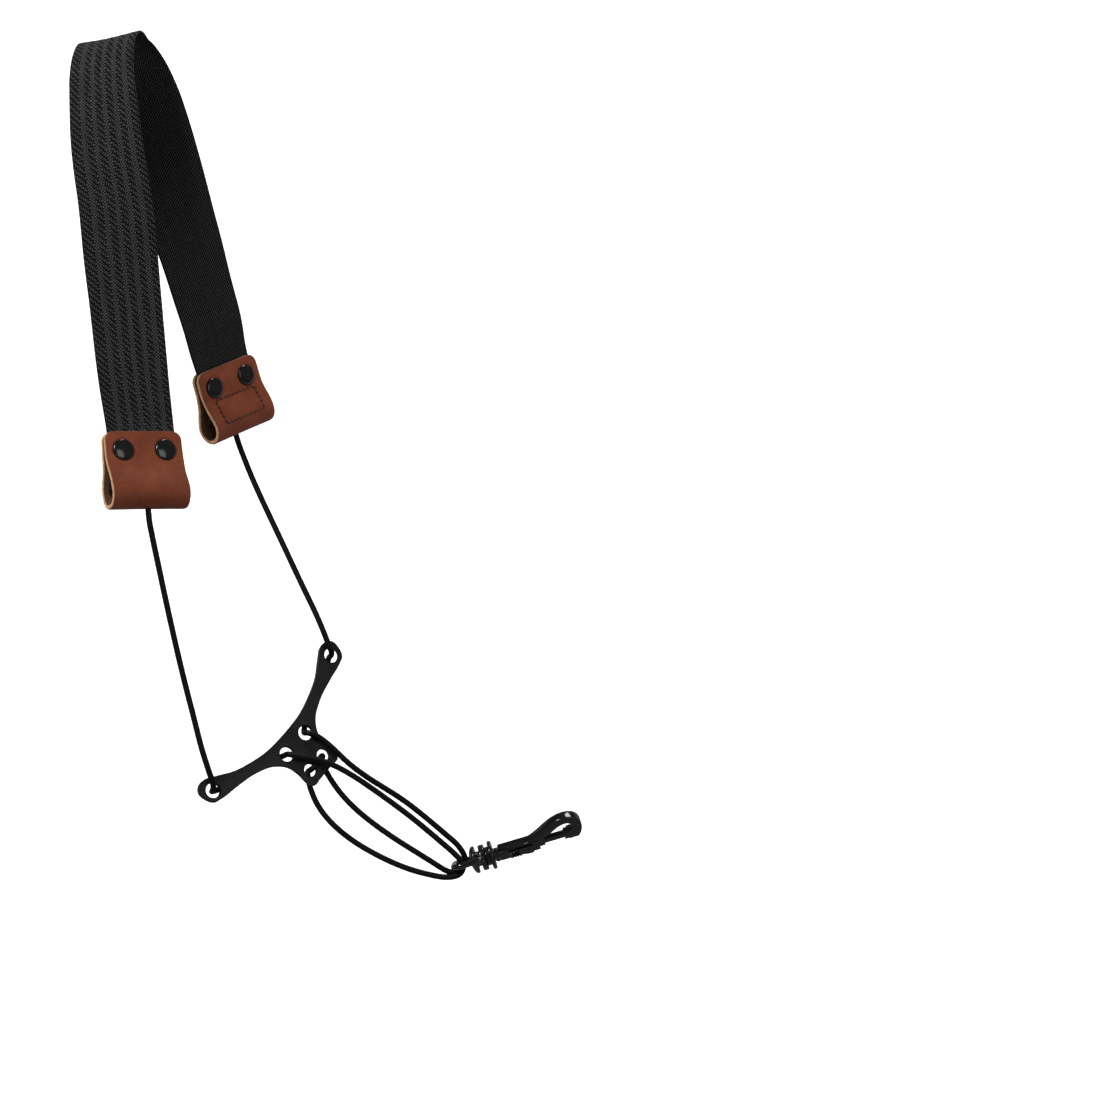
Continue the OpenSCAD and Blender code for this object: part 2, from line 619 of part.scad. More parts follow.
// Lug on the -Y side of the barrel: a plate with four ridges and a raised pad.
module thumb_lug() {
  barrel_y = barrel_s / 2 + 0.06;
  plate_t = 1.5;
  raised_y = -barrel_y - 2.3;
  lug_w = 3.9;
  pad_start = 8.6;
  color(gloss_black) at_hook() difference() {
    union() {
      translate([lug_x0, -barrel_y - plate_t, -lug_w / 2]) cube([lug_len, plate_t, lug_w]);
      for (i = [0:3])
        translate([lug_x0 + 1 + i * 1.5, raised_y, -lug_w / 2]) cube([0.8, 0.9, lug_w]);
      translate([lug_x0 + pad_start, raised_y, -lug_w / 2]) cube([lug_len - pad_start, 1, lug_w]);
    }
    along_y(lug_pin_x, -6) cylinder(h = 10, r = lug_pin_hole_r, center = true);
  }
}
module lug_pin() {
  color(gloss_black) at_hook() along_y(lug_pin_x, -1.45)
    cylinder(h = barrel_s / 2 + 1, r = lug_pin_r);
}

neck_webbing();
front_tab_leather();
front_tab_rivet_posts();
front_tab_rivet_caps();
front_tab_stitching();
front_cord_knot();
back_tab_leather();
back_tab_rivet_posts();
back_tab_rivet_caps();
back_tab_stitching();
back_cord_knot();
front_upper_cord();
back_upper_cord();
end_hole_cord_bights();
yoke_plate();
rear_cord_runs();
tail_cord_bridge();
upper_strand_far();
upper_strand_near();
lower_strand_far();
lower_strand_near();
eye_cord_turns();
swivel_eye();
swivel_rivet();
swivel_washer();
swivel_cross_pin();
hook_body();
bolt();
bolt_spring();
thumb_lug();
lug_pin();
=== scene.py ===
"""Looks for the saxophone neck strap.

A woven band hangs from the origin with a leather tab on each end. A braided cord leaves each tab
for a yoke plate, and one more cord runs from the yoke round the eye of a swivel snap hook.
X is right, -Y is front, Z is up. Lengths are in millimetres until a mesh is made.
"""

import math

import bmesh
import bpy
import numpy as np
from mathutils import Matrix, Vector


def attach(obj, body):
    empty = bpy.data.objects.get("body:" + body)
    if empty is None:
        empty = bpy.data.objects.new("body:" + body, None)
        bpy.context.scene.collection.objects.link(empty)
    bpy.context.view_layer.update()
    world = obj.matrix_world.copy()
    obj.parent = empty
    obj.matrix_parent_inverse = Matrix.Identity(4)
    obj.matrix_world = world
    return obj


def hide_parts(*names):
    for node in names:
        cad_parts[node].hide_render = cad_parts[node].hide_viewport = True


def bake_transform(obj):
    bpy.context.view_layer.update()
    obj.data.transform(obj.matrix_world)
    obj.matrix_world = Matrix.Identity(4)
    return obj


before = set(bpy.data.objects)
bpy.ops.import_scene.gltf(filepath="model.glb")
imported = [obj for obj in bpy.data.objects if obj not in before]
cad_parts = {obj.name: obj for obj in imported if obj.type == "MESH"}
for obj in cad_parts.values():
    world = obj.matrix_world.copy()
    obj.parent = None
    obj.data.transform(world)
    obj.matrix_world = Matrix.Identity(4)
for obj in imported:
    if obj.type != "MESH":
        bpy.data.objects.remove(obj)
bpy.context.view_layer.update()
rng = np.random.default_rng(7)
MM = 0.001

# ---------------------------------------------------------------- shared sizes
WEB_WIDTH, WEB_THICK = 37.6, 1.3
YARN_PITCH = 0.8  # across the band
BEAD_LENGTH = 1.6  # along the band
# bands of dots, also raised as ribs: every RIB_PITCH from x = -RIB_START, near RIB_CENTRE
RIB_START, RIB_PITCH, RIB_CENTRE = 11.3, 6.2, 1.3

TAB_WIDTH, LEATHER_THICK, LOOP_RADIUS = 42.6, 2.15, 8.5
SLOT = WEB_THICK + 0.06  # gap between the leaves of a tab
TAB_THICK = 2 * LEATHER_THICK + SLOT
LEAF_LENGTH = 15.6  # straight part of each leaf
RIVET_X, RIVET_Z = 11.7, 9.8
# stitched rectangle on the inner leaf, STITCH_Z from its end
STITCH_W, STITCH_H, STITCH_Z = 28.0, 13.2, 16.6

# places of the yoke holes, along the pull and across
END_ACROSS = 50.0
CENTRE_ALONG, CENTRE_ACROSS = 16.6, 7.9
TAIL_ALONG, TAIL_ACROSS = 31.4, 5.4

CORD_STEP, CORD_AROUND, PLAIT_LENGTH = 0.3, 32, 3.2
TUBE_SIDE = (0.3, 1, 0.2)  # rough direction of the first point round a tube


# ---------------------------------------------------------------- vectors and curves
def vec(*v):
    return np.array(v, float)


def unit(v):
    v = np.array(v, float)
    return v / np.linalg.norm(v)


def flat(v, axis):
    """Unit direction of v with its part along the axis removed."""
    v = np.array(v, float)
    return unit(v - (v @ axis) * axis)


def yaw(degrees, z=0.0):
    a = math.radians(degrees)
    return vec(math.cos(a), math.sin(a), z)


def angles(n):
    return np.linspace(0, 2 * math.pi, n, endpoint=False)


def catmull(points, n, closed=False):
    """A smooth curve through the points; uneven spans don't make it overshoot."""
    p = np.array(points, float)
    count = len(p)
    out = []

    def slope(a, b, c, scale):
        u, v = np.linalg.norm(b - a), np.linalg.norm(c - b)
        if u < 1e-6 or v < 1e-6:
            return c - b if u < 1e-6 else b - a
        return ((b - a) / u * v + (c - b) / v * u) / (u + v) * scale

    t = (np.arange(n) / n)[:, None]
    for i in range(count if closed else count - 1):
        if closed:
            a, b, c, d = p[i - 1], p[i], p[(i + 1) % count], p[(i + 2) % count]
        else:
            a, b, c, d = p[max(i - 1, 0)], p[i], p[i + 1], p[min(i + 2, count - 1)]
        length = np.linalg.norm(c - b)
        m0, m1 = slope(a, b, c, length), slope(b, c, d, length)
        out.append(
            (2 * t**3 - 3 * t**2 + 1) * b
            + (t**3 - 2 * t**2 + t) * m0
            + (3 * t**2 - 2 * t**3) * c
            + (t**3 - t**2) * m1
        )
    if not closed:
        out.append(p[-1:])
    return np.concatenate(out)


def lengths(p):
    return np.concatenate([[0], np.cumsum(np.linalg.norm(np.diff(p, axis=0), axis=1))])


def resample(p, step, *others):
    """The path and its companions at even steps, then the distance along it."""
    s = lengths(p)
    n = max(2, int(round(s[-1] / step)) + 1)
    t = np.linspace(0, s[-1], n)
    rows = [
        np.stack([np.interp(t, s, q[:, i]) for i in range(q.shape[1])], 1) for q in (p,) + others
    ]
    return (*rows, t)


def tangents(p):
    t = np.gradient(p, axis=0)
    return t / np.linalg.norm(t, axis=1)[:, None]


def carried(tangent, side):
    """A side direction carried along the tangents without twist."""
    u = flat(side, tangent[0])
    out = []
    for t in tangent:
        u = flat(u, t)
        out.append(u)
    return np.array(out)


def smoothed(p, width, rounds):
    """Moving average over an odd number of points, with the ends held."""
    p = np.array(p, float)
    kernel = np.ones(width) / width
    pad = width // 2
    for _ in range(rounds):
        q = np.concatenate([np.repeat(p[:1], pad, 0), p, np.repeat(p[-1:], pad, 0)])
        p = np.stack([np.convolve(q[:, i], kernel, "valid") for i in range(p.shape[1])], 1)
    return p


# ---------------------------------------------------------------- meshes
def mesh(name, verts, faces, mats, uv=None, face_mat=None, attributes=None):
    """A smooth object from millimetre verts; uv is one pair per vertex."""
    me = bpy.data.meshes.new(name)
    me.from_pydata((np.array(verts) * MM).tolist(), [], [list(map(int, f)) for f in faces])
    for mat in mats:
        me.materials.append(mat)
    if face_mat is not None:
        me.polygons.foreach_set("material_index", np.array(face_mat, np.int32))
    me.polygons.foreach_set("use_smooth", np.full(len(me.polygons), True))
    if uv is not None:
        layer = me.uv_layers.new(name="UVMap")
        index = np.zeros(len(me.loops), np.int64)
        me.loops.foreach_get("vertex_index", index)
        layer.data.foreach_set("uv", np.array(uv, np.float32)[index].ravel())
    for key, values in (attributes or {}).items():
        attribute = me.attributes.new(key, "FLOAT", "POINT")
        attribute.data.foreach_set("value", np.array(values, np.float32))
    me.update()
    ob = bpy.data.objects.new(name, me)
    bpy.context.collection.objects.link(ob)
    return ob


def ring_faces(rings, around):
    """Quads between successive rings of points, and a cap at each end."""
    i = np.arange(rings - 1)[:, None] * around
    j = np.arange(around)[None, :]
    j2 = (j + 1) % around
    quads = np.stack([i + j, i + j2, i + around + j2, i + around + j], -1).reshape(-1, 4)
    caps = [list(range(around - 1, -1, -1)), list(range((rings - 1) * around, rings * around))]
    return quads.tolist() + caps


def flipped(faces):
    return [f[::-1] for f in faces]


def join(parts):
    """Join (verts, faces) pairs into one."""
    verts, faces, first = [], [], 0
    for v, f in parts:
        verts.append(np.array(v))
        faces += [[i + first for i in face] for face in f]
        first += len(v)
    return np.concatenate(verts), faces


def lathe(profile, n=64):
    """Turn (x, radius) pairs about X."""
    p = np.array(profile, float)
    a = angles(n)
    y = (p[:, 1][:, None] * np.cos(a)).ravel()
    z = (p[:, 1][:, None] * np.sin(a)).ravel()
    return np.stack([np.repeat(p[:, 0], n), y, z], 1), ring_faces(len(p), n)


def rounded(profile, radius, steps=4):
    """Round the corners of an open (x, radius) profile."""
    p = np.array(profile, float)
    out = [p[0]]
    for i in range(1, len(p) - 1):
        a, b, c = p[i - 1], p[i], p[i + 1]
        to_a, to_c = np.linalg.norm(a - b), np.linalg.norm(c - b)
        k = min(radius, to_a * 0.45, to_c * 0.45)
        start, end = b + (a - b) / to_a * k, b + (c - b) / to_c * k
        for t in np.linspace(0, 1, steps + 1):
            out.append((1 - t) ** 2 * start + 2 * t * (1 - t) * b + t * t * end)
    out.append(p[-1])
    return np.array(out)


def sweep(path, radii, around, side):
    """Rings along a path; radii has a row per path point."""
    t = tangents(path)
    u = carried(t, side)
    v = np.cross(t, u)
    a = angles(around)[None, :, None]
    spokes = np.cos(a) * u[:, None, :] + np.sin(a) * v[:, None, :]
    rings = path[:, None, :] + radii[..., None] * spokes
    return rings.reshape(-1, 3), ring_faces(len(path), around)


def tube(path, radius, around, side=TUBE_SIDE):
    """A round tube, drawn in at its two ends."""
    radii = np.full((len(path), 1), radius)
    radii[[0, -1]] = radius * 0.6
    return sweep(path, radii, around, side)


def circle(x, y, radius, n=48):
    """Clockwise, as plate holes need."""
    a = -angles(n)
    return np.stack([x + radius * np.cos(a), y + radius * np.sin(a)], 1)


def box(x0, x1, y0, y1, z0, z1):
    verts = vec(*[(x, y, z) for x in (x0, x1) for y in (y0, y1) for z in (z0, z1)])
    faces = [[0, 1, 3, 2], [4, 6, 7, 5], [0, 4, 5, 1], [2, 3, 7, 6], [0, 2, 6, 4], [1, 5, 7, 3]]
    return verts, faces


def evaluated(ob):
    """A new mesh of the object as its curve settings or modifiers make it."""
    bpy.context.view_layer.update()
    return bpy.data.meshes.new_from_object(ob.evaluated_get(bpy.context.evaluated_depsgraph_get()))


def plate(outline, thickness, bevel, holes=()):
    """A flat plate in XY, centred in Z, with rounded edges, from 2D outlines."""
    cu = bpy.data.curves.new("plate", "CURVE")
    cu.dimensions = "2D"
    cu.fill_mode = "BOTH"
    cu.extrude = thickness / 2 - bevel
    cu.bevel_depth = bevel
    cu.bevel_resolution = 3
    cu.offset = -bevel
    for points in [outline, *holes]:
        spline = cu.splines.new("POLY")
        spline.points.add(len(points) - 1)
        for target, p in zip(spline.points, points, strict=True):
            target.co = (p[0], p[1], 0, 1)
        spline.use_cyclic_u = True
    ob = bpy.data.objects.new("plate", cu)
    bpy.context.collection.objects.link(ob)
    me = evaluated(ob)
    bm = bmesh.new()
    bm.from_mesh(me)
    bmesh.ops.remove_doubles(bm, verts=bm.verts, dist=1e-4)
    bmesh.ops.dissolve_degenerate(bm, edges=bm.edges, dist=1e-5)
    bm.verts.index_update()
    verts = np.array([v.co for v in bm.verts], float).reshape(-1, 3)
    faces = [[v.index for v in f.verts] for f in bm.faces]
    bm.free()
    bpy.data.objects.remove(ob)
    bpy.data.meshes.remove(me)
    return verts, faces


def fit(ob, rides, replaced, crease=None):
    """Tell the frame what a rigid piece is; edges over the crease angle are sharp."""
    if crease:
        ob.data.set_sharp_from_angle(angle=math.radians(crease))
    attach(ob, rides)
    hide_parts(replaced)


def blend(ob):
    """Bake the piece's placement into its mesh."""
    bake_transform(ob)


# ---------------------------------------------------------------- material nodes
class Material:
    """A Principled material and short calls for its nodes."""

    def __init__(self, name):
        self.mat = bpy.data.materials.new(name)
        self.mat.use_nodes = True
        self.tree = self.mat.node_tree
        self.shader = self.tree.nodes["Principled BSDF"]

    def node(self, kind, **props):
        node = self.tree.nodes.new(kind)
        for key, value in props.items():
            setattr(node, key, value)
        return node

    def put(self, socket, value):
        """Link a socket, or set a value; None leaves the default."""
        if value is None:
            return
        if isinstance(value, bpy.types.NodeSocket):
            self.tree.links.new(value, socket)
        elif isinstance(value, tuple) and len(value) == 3:
            socket.default_value = (*value, 1)
        else:
            socket.default_value = value

    def op(self, operation, a, b=None, clamp=False):
        node = self.node("ShaderNodeMath", operation=operation, use_clamp=clamp)
        self.put(node.inputs[0], a)
        self.put(node.inputs[1], b)
        return node.outputs[0]

    def add(self, a, plus):
        return self.op("ADD", a, plus)

    def sub(self, a, minus):
        return self.op("SUBTRACT", a, minus)

    def mul(self, a, by, clamp=False):
        return self.op("MULTIPLY", a, by, clamp)

    def div(self, a, by):
        return self.op("DIVIDE", a, by)

    def power(self, a, exponent):
        return self.op("POWER", a, exponent)

    def below(self, a, limit):
        return self.op("LESS_THAN", a, limit)

    def size(self, a):
        return self.op("ABSOLUTE", a)

    def half_wave(self, a):
        """Sine that is one hump per whole number."""
        return self.op("SINE", self.mul(a, by=math.pi))

    def spread(self, noise, amount):
        """Noise centred on zero."""
        return self.mul(self.sub(noise, minus=0.5), by=amount)

    def uv(self):
        node = self.node("ShaderNodeSeparateXYZ")
        self.put(node.inputs[0], self.node("ShaderNodeUVMap", uv_map="UVMap").outputs[0])
        return node.outputs[0], node.outputs[1]

    def combine(self, x, y):
        node = self.node("ShaderNodeCombineXYZ")
        self.put(node.inputs[0], x)
        self.put(node.inputs[1], y)
        return node.outputs[0]

    def metres(self):
        return self.node("ShaderNodeTexCoord").outputs["Object"]

    def millimetres(self):
        node = self.node("ShaderNodeVectorMath", operation="SCALE")
        self.put(node.inputs[0], self.metres())
        node.inputs["Scale"].default_value = 1000.0
        return node.outputs[0]

    def noise(self, at, scale, detail=2.0, rough=0.5, distortion=0.0):
        node = self.node("ShaderNodeTexNoise")
        self.put(node.inputs["Vector"], at)
        node.inputs["Scale"].default_value = scale
        node.inputs["Detail"].default_value = detail
        node.inputs["Roughness"].default_value = rough
        node.inputs["Distortion"].default_value = distortion
        return node.outputs[0]

    def voronoi(self, at, scale, feature="F1"):
        node = self.node("ShaderNodeTexVoronoi", feature=feature)
        self.put(node.inputs["Vector"], at)
        node.inputs["Scale"].default_value = scale
        return node.outputs["Distance"]

    def ramp(self, factor, *stops):
        """Colour from stops of (position, linear RGB)."""
        node = self.node("ShaderNodeValToRGB")
        elements = node.color_ramp.elements
        while len(elements) < len(stops):
            elements.new(0.5)
        for element, (position, colour) in zip(elements, stops, strict=True):
            element.position = position
            element.color = (*colour, 1)
        self.put(node.inputs[0], factor)
        return node.outputs[0]

    def mix(self, factor, a, b):
        node = self.node("ShaderNodeMix", data_type="RGBA", blend_type="MIX")
        self.put(node.inputs[0], factor)
        self.put(node.inputs[6], a)
        self.put(node.inputs[7], b)
        return node.outputs[2]

    def between(self, factor, low, high):
        node = self.node("ShaderNodeMapRange")
        self.put(node.inputs[0], factor)
        self.put(node.inputs[3], low)
        self.put(node.inputs[4], high)
        return node.outputs[0]

    def bump(self, height, depth, strength):
        """Depth is in millimetres."""
        node = self.node("ShaderNodeBump")
        node.inputs["Strength"].default_value = strength
        node.inputs["Distance"].default_value = depth * MM
        self.put(node.inputs["Height"], height)
        return node.outputs[0]

    def finish(self, **inputs):
        for key, value in inputs.items():
            self.put(self.shader.inputs[key.replace("_", " ")], value)
        return self.mat


def grey(value):
    return (value, value, value)


# ---------------------------------------------------------------- woven materials
# UV is millimetres: x across the band, s along it
def wander(m, x, s, scale, amount):
    """Rows that drift a little along the band."""
    drift = m.noise(m.combine(x, s), scale=scale, detail=1.0)
    return m.add(s, plus=m.spread(drift, amount=amount))


def yarn_columns(m, x):
    """Each yarn's number, and its round height across."""
    column = m.add(m.div(x, by=YARN_PITCH), plus=100.0)
    return m.op("FLOOR", column), m.half_wave(m.op("FRACT", column))


def beads(m, s, number):
    """Beads along the yarns, staggered by half on every other one."""
    stagger = m.mul(m.op("MODULO", number, 2.0), by=0.5)
    return m.size(m.half_wave(m.add(m.div(s, by=BEAD_LENGTH), plus=stagger)))


def fibres(m, x, s, across, along):
    at = m.combine(m.mul(x, by=across), m.mul(s, by=along))
    return m.noise(at, scale=1.0, detail=3.0, rough=0.6)


def webbing_material():
    """Bands of staggered dots between stretches of long floats."""
    m = Material("webbing_weave")
    x, s = m.uv()
    s = wander(m, x, s, scale=0.25, amount=0.5)
    number, profile = yarn_columns(m, x)
    place = m.add(m.div(m.add(x, plus=RIB_START), by=RIB_PITCH), plus=0.5)
    off_centre = m.size(m.sub(m.op("FRACT", place), minus=0.5))
    in_dots = m.below(m.mul(off_centre, by=RIB_PITCH), limit=1.35)
    in_middle = m.below(m.size(m.sub(x, minus=RIB_CENTRE)), limit=14.4)
    band = m.mul(in_dots, by=in_middle)
    dots = m.power(beads(m, s, number), exponent=1.2)
    diagonal = m.add(m.div(s, by=2 * BEAD_LENGTH), plus=m.mul(number, by=0.25))
    floats = m.mul(m.power(m.size(m.half_wave(diagonal)), exponent=0.5), by=0.84)
    cell = m.add(m.mul(dots, by=band), plus=m.mul(floats, by=m.sub(1.0, minus=band)))
    height = m.mul(cell, by=m.power(profile, exponent=0.7))
    weft = m.mul(m.size(m.op("SINE", m.mul(s, by=math.pi / BEAD_LENGTH))), by=0.22)
    height = m.add(height, plus=weft)
    fibre = fibres(m, x, s, across=9.0, along=1.3)
    height = m.add(height, plus=m.spread(fibre, amount=0.35))
    tone = m.noise(m.combine(x, m.mul(s, by=0.25)), scale=0.35, detail=3.0)
    # painted highlight and shade: the colour is light on the yarn tops and dark in the gaps between
    # them
    light = m.power(m.op("MAXIMUM", height, 0.0), exponent=1.6)
    light = m.mul(light, by=m.between(tone, low=0.75, high=1.3))
    light = m.mul(light, by=m.between(band, low=0.8, high=1.15))
    colour = m.ramp(
        light,
        (0.0, (0.0007, 0.0007, 0.0008)),
        (0.35, (0.0042, 0.0042, 0.0045)),
        (0.95, (0.105, 0.105, 0.108)),
    )
    return m.finish(
        Base_Color=colour,
        Roughness=m.between(fibre, low=0.42, high=0.68),
        Specular_IOR_Level=0.06,
        Normal=m.bump(height, depth=0.4, strength=0.9),
    )


def webbing_back_material():
    """The band's other face: small even beads, darker, as painted shade; the bead tops are painted
    highlights.
    """
    m = Material("webbing_back_weave")
    x, s = m.uv()
    s = wander(m, x, s, scale=0.3, amount=0.6)
    number, profile = yarn_columns(m, x)
    bead = m.power(beads(m, s, number), exponent=0.8)
    height = m.mul(bead, by=m.power(profile, exponent=0.6))
    fibre = fibres(m, x, s, across=7.0, along=1.6)
    height = m.add(height, plus=m.spread(fibre, amount=0.3))
    colour = m.ramp(
        m.power(m.op("MAXIMUM", height, 0.0), exponent=1.4),
        (0.0, (0.0007, 0.0007, 0.0008)),
        (0.45, (0.0055, 0.0055, 0.0057)),
        (1.0, (0.080, 0.080, 0.082)),
    )
    return m.finish(
        Base_Color=colour,
        Roughness=m.between(fibre, low=0.5, high=0.75),
        Specular_IOR_Level=0.05,
        Normal=m.bump(height, depth=0.35, strength=0.9),
    )


def thread_material():
    m = Material("waxed_thread")
    wave = m.node("ShaderNodeTexWave", wave_type="BANDS", bands_direction="DIAGONAL")
    m.put(wave.inputs["Vector"], m.millimetres())
    wave.inputs["Scale"].default_value = 1.4
    wave.inputs["Distortion"].default_value = 0.6
    twist = wave.outputs["Fac"]
    return m.finish(
        Base_Color=m.ramp(twist, (0.0, (0.020, 0.007, 0.004)), (1.0, (0.075, 0.026, 0.014))),
        Roughness=0.5,
        Normal=m.bump(twist, depth=0.12, strength=0.8),
    )


def cord_material():
    """Painted highlights on the plait's tops and painted shade in its grooves, from the plait's own
    height; the yarn lies on both diagonals.
    """
    m = Material("braided_cord")
    height = m.node("ShaderNodeAttribute", attribute_name="plait_highlight", attribute_type="GEOMETRY")
    x, s = m.uv()
    at = m.combine(m.mul(m.add(x, plus=s), by=6.0), m.mul(m.sub(x, minus=s), by=6.0))
    yarn = m.noise(at, scale=1.0, detail=3.0, rough=0.6)
    colour = m.ramp(
        m.add(height.outputs["Fac"], plus=m.spread(yarn, amount=0.5)),
        (0.12, (0.0005, 0.0005, 0.0006)),
        (0.5, (0.004, 0.004, 0.0043)),
        (0.9, (0.22, 0.22, 0.225)),
    )
    return m.finish(
        Base_Color=colour,
        Roughness=m.between(yarn, low=0.38, high=0.56),
        Specular_IOR_Level=0.18,
        Normal=m.bump(yarn, depth=0.08, strength=0.6),
    )


# ---------------------------------------------------------------- leather materials
def leather_material():
    """UV is millimetres across the strip and along it."""
    m = Material("tab_leather")
    x, s = m.uv()
    at = m.combine(x, s)
    cloud = m.noise(at, scale=0.06, detail=3.0, rough=0.55)
    mottle = m.noise(at, scale=0.35, detail=4.0, rough=0.6)
    pore = m.voronoi(at, scale=1.9)
    crease = m.voronoi(at, scale=1.1, feature="DISTANCE_TO_EDGE")
    base = m.ramp(
        cloud,
        (0.3, (0.155, 0.036, 0.0150)),
        (0.52, (0.215, 0.053, 0.022)),
        (0.72, (0.285, 0.077, 0.032)),
    )
    dark = m.mul(m.sub(1.0, minus=mottle), by=0.45, clamp=True)
    base = m.mix(dark, base, (0.11, 0.026, 0.013))
    # painted shade: darker towards the loop, about the middle of the strip
    loop_s = 44.0
    away = m.div(m.size(m.sub(s, minus=loop_s)), by=loop_s)
    loop = m.ramp(away, (0.0, grey(1)), (0.34, grey(0.25)), (0.7, grey(0)))
    base = m.mix(m.mul(loop, by=0.55), base, (0.10, 0.024, 0.012))
    stretched = m.combine(m.mul(x, by=0.5), m.mul(s, by=2.2))
    scuff = m.noise(stretched, scale=0.8, detail=5.0, rough=0.7, distortion=0.6)
    base = m.mix(m.ramp(scuff, (0.62, grey(0)), (0.78, grey(0.4))), base, (0.36, 0.13, 0.07))
    height = m.add(m.mul(pore, by=0.5), plus=m.mul(mottle, by=0.7))
    height = m.add(height, plus=m.mul(m.op("MINIMUM", crease, 0.12), by=2.4))
    return m.finish(
        Base_Color=base,
        Roughness=m.between(mottle, low=0.38, high=0.58),
        Specular_IOR_Level=0.2,
        Normal=m.bump(height, depth=0.07, strength=0.55),
    )


def raw_leather_material(name, dark, light, streak):
    m = Material(name)
    at = m.millimetres()
    coarse = m.noise(at, scale=0.9, detail=5.0, rough=0.7)
    fine = m.noise(at, scale=3.2, detail=3.0, rough=0.6, distortion=0.8)
    base = m.ramp(coarse, (0.3, dark), (0.7, light))
    base = m.mix(m.ramp(fine, (0.52, grey(0)), (0.68, grey(0.7))), base, streak)
    height = m.add(coarse, plus=m.mul(fine, by=0.7))
    return m.finish(
        Base_Color=base,
        Roughness=0.85,
        Specular_IOR_Level=0.2,
        Normal=m.bump(height, depth=0.25, strength=0.8),
    )


# ---------------------------------------------------------------- plate and metal materials
def yoke_material():
    m = Material("satin_black_plate")
    at = m.millimetres()
    grain = m.noise(at, scale=4.0, detail=3.0, rough=0.6)
    cloud = m.noise(at, scale=0.08, detail=3.0)
    scratch = m.noise(m.metres(), scale=900.0, detail=4.0, rough=0.7, distortion=1.5)
    wear = m.add(m.mul(cloud, by=0.6), plus=m.mul(scratch, by=0.4))
    colour = m.ramp(cloud, (0.35, (0.007, 0.007, 0.0073)), (0.7, (0.011, 0.011, 0.0115)))
    return m.finish(
        Base_Color=colour,
        Roughness=m.between(wear, low=0.30, high=0.46),
        Specular_IOR_Level=0.18,
        Normal=m.bump(grain, depth=0.02, strength=0.3),
    )


def gloss_material(name, base, rough, wear):
    """Gloss black; wear is how much lighter the cloudy patches get."""
    m = Material(name)
    at = m.millimetres()
    cloud = m.noise(at, scale=0.25, detail=4.0, rough=0.6)
    fine = m.noise(at, scale=2.2, detail=3.0, rough=0.6)
    worn = tuple(c * (1.0 + wear) for c in base)
    return m.finish(
        Base_Color=m.ramp(cloud, (0.3, base), (0.75, worn)),
        Roughness=m.between(cloud, *rough),
        Specular_IOR_Level=0.5,
        Normal=m.bump(fine, depth=0.02, strength=0.08),
        Coat_Weight=0.3,
        Coat_Roughness=0.05,
    )


def steel_material():
    m = Material("spring_steel")
    cloud = m.noise(m.millimetres(), scale=3.0, detail=3.0)
    return m.finish(
        Base_Color=m.ramp(cloud, (0.3, (0.42, 0.42, 0.43)), (0.7, (0.62, 0.62, 0.63))),
        Metallic=1.0,
        Roughness=m.between(cloud, low=0.2, high=0.38),
    )


WEB = webbing_material()
WEB_BACK = webbing_back_material()
LEATHER = leather_material()
RAW = raw_leather_material(
    "raw_leather_edge",
    dark=(0.30, 0.14, 0.065),
    light=(0.66, 0.41, 0.24),
    streak=(0.16, 0.06, 0.028),
)
FLESH = raw_leather_material(
    "leather_flesh_side",
    dark=(0.12, 0.062, 0.03),
    light=(0.21, 0.12, 0.065),
    streak=(0.08, 0.035, 0.018),
)
THREAD = thread_material()
CORD = cord_material()
YOKE = yoke_material()
GLOSS = gloss_material(
    "gloss_black_metal", base=(0.0022, 0.0022, 0.0024), rough=(0.08, 0.2), wear=0.5
)
RIVET = gloss_material("rivet_black", base=(0.0022, 0.0025, 0.0025), rough=(0.12, 0.2), wear=0.35)
STEEL = steel_material()


# ---------------------------------------------------------------- frames of the pieces
class Frame:
    """An origin and three axes."""

    def __init__(self, origin, x, y, z):
        self.origin, self.x, self.y, self.z = origin, x, y, z

    def place(self, v):
        return self.origin + v[:, :1] * self.x + v[:, 1:2] * self.y + v[:, 2:3] * self.z

    def at(self, x, y, z):
        return self.origin + x * self.x + y * self.y + z * self.z


class Tab(Frame):
    """A tab's frame: origin mid-top, x across, z up. inner is the sign of y on its inner side."""

    def __init__(self, name, top, wide, down, height, exit_x, inner):
        down = flat(down, wide)
        super().__init__(top, wide, np.cross(-down, wide), -down)
        self.name, self.down, self.height, self.inner = name, down, height, inner
        self.exit_x = exit_x
        self.exit = top + height * down + exit_x * wide  # where the cord leaves


front_tab = Tab(
    "front",
    top=vec(15.6, -8, -203.2),
    wide=unit(yaw(33, 0.02)),
    down=[0.065, -0.178, -0.978],
    height=41.0,
    exit_x=0.0,
    inner=1,
)
back_tab = Tab(
    "back",
    top=vec(51.0, 45, -164.8),
    wide=unit([0.639, 0.710, 0.345]),
    down=[0.235, 0.246, -0.940],
    height=39.0,
    exit_x=-3.8,
    inner=-1,
)

# yoke: x along the pull towards the hook, y across, z out of its front face
across = unit([0.569, 0.469, 0.675])
pull = flat([0.712, 0.1287, -0.690], across)
yoke = Frame(vec(80.25, 20, -353.2), pull, across, np.cross(pull, across))

# eye: x along the hook; the hook shares its origin and x, and is rolled about x
hook_tilt, hook_roll = math.radians(16.6), math.radians(38)
axis = vec(math.cos(hook_tilt), 0, math.sin(hook_tilt))
side = vec(0, 1, 0)
eye = Frame(vec(174.8, 30, -429.4), axis, side, np.cross(axis, side))
hook = Frame(
    eye.origin,
    eye.x,
    math.cos(hook_roll) * eye.y + math.sin(hook_roll) * eye.z,
    -math.sin(hook_roll) * eye.y + math.cos(hook_roll) * eye.z,
)

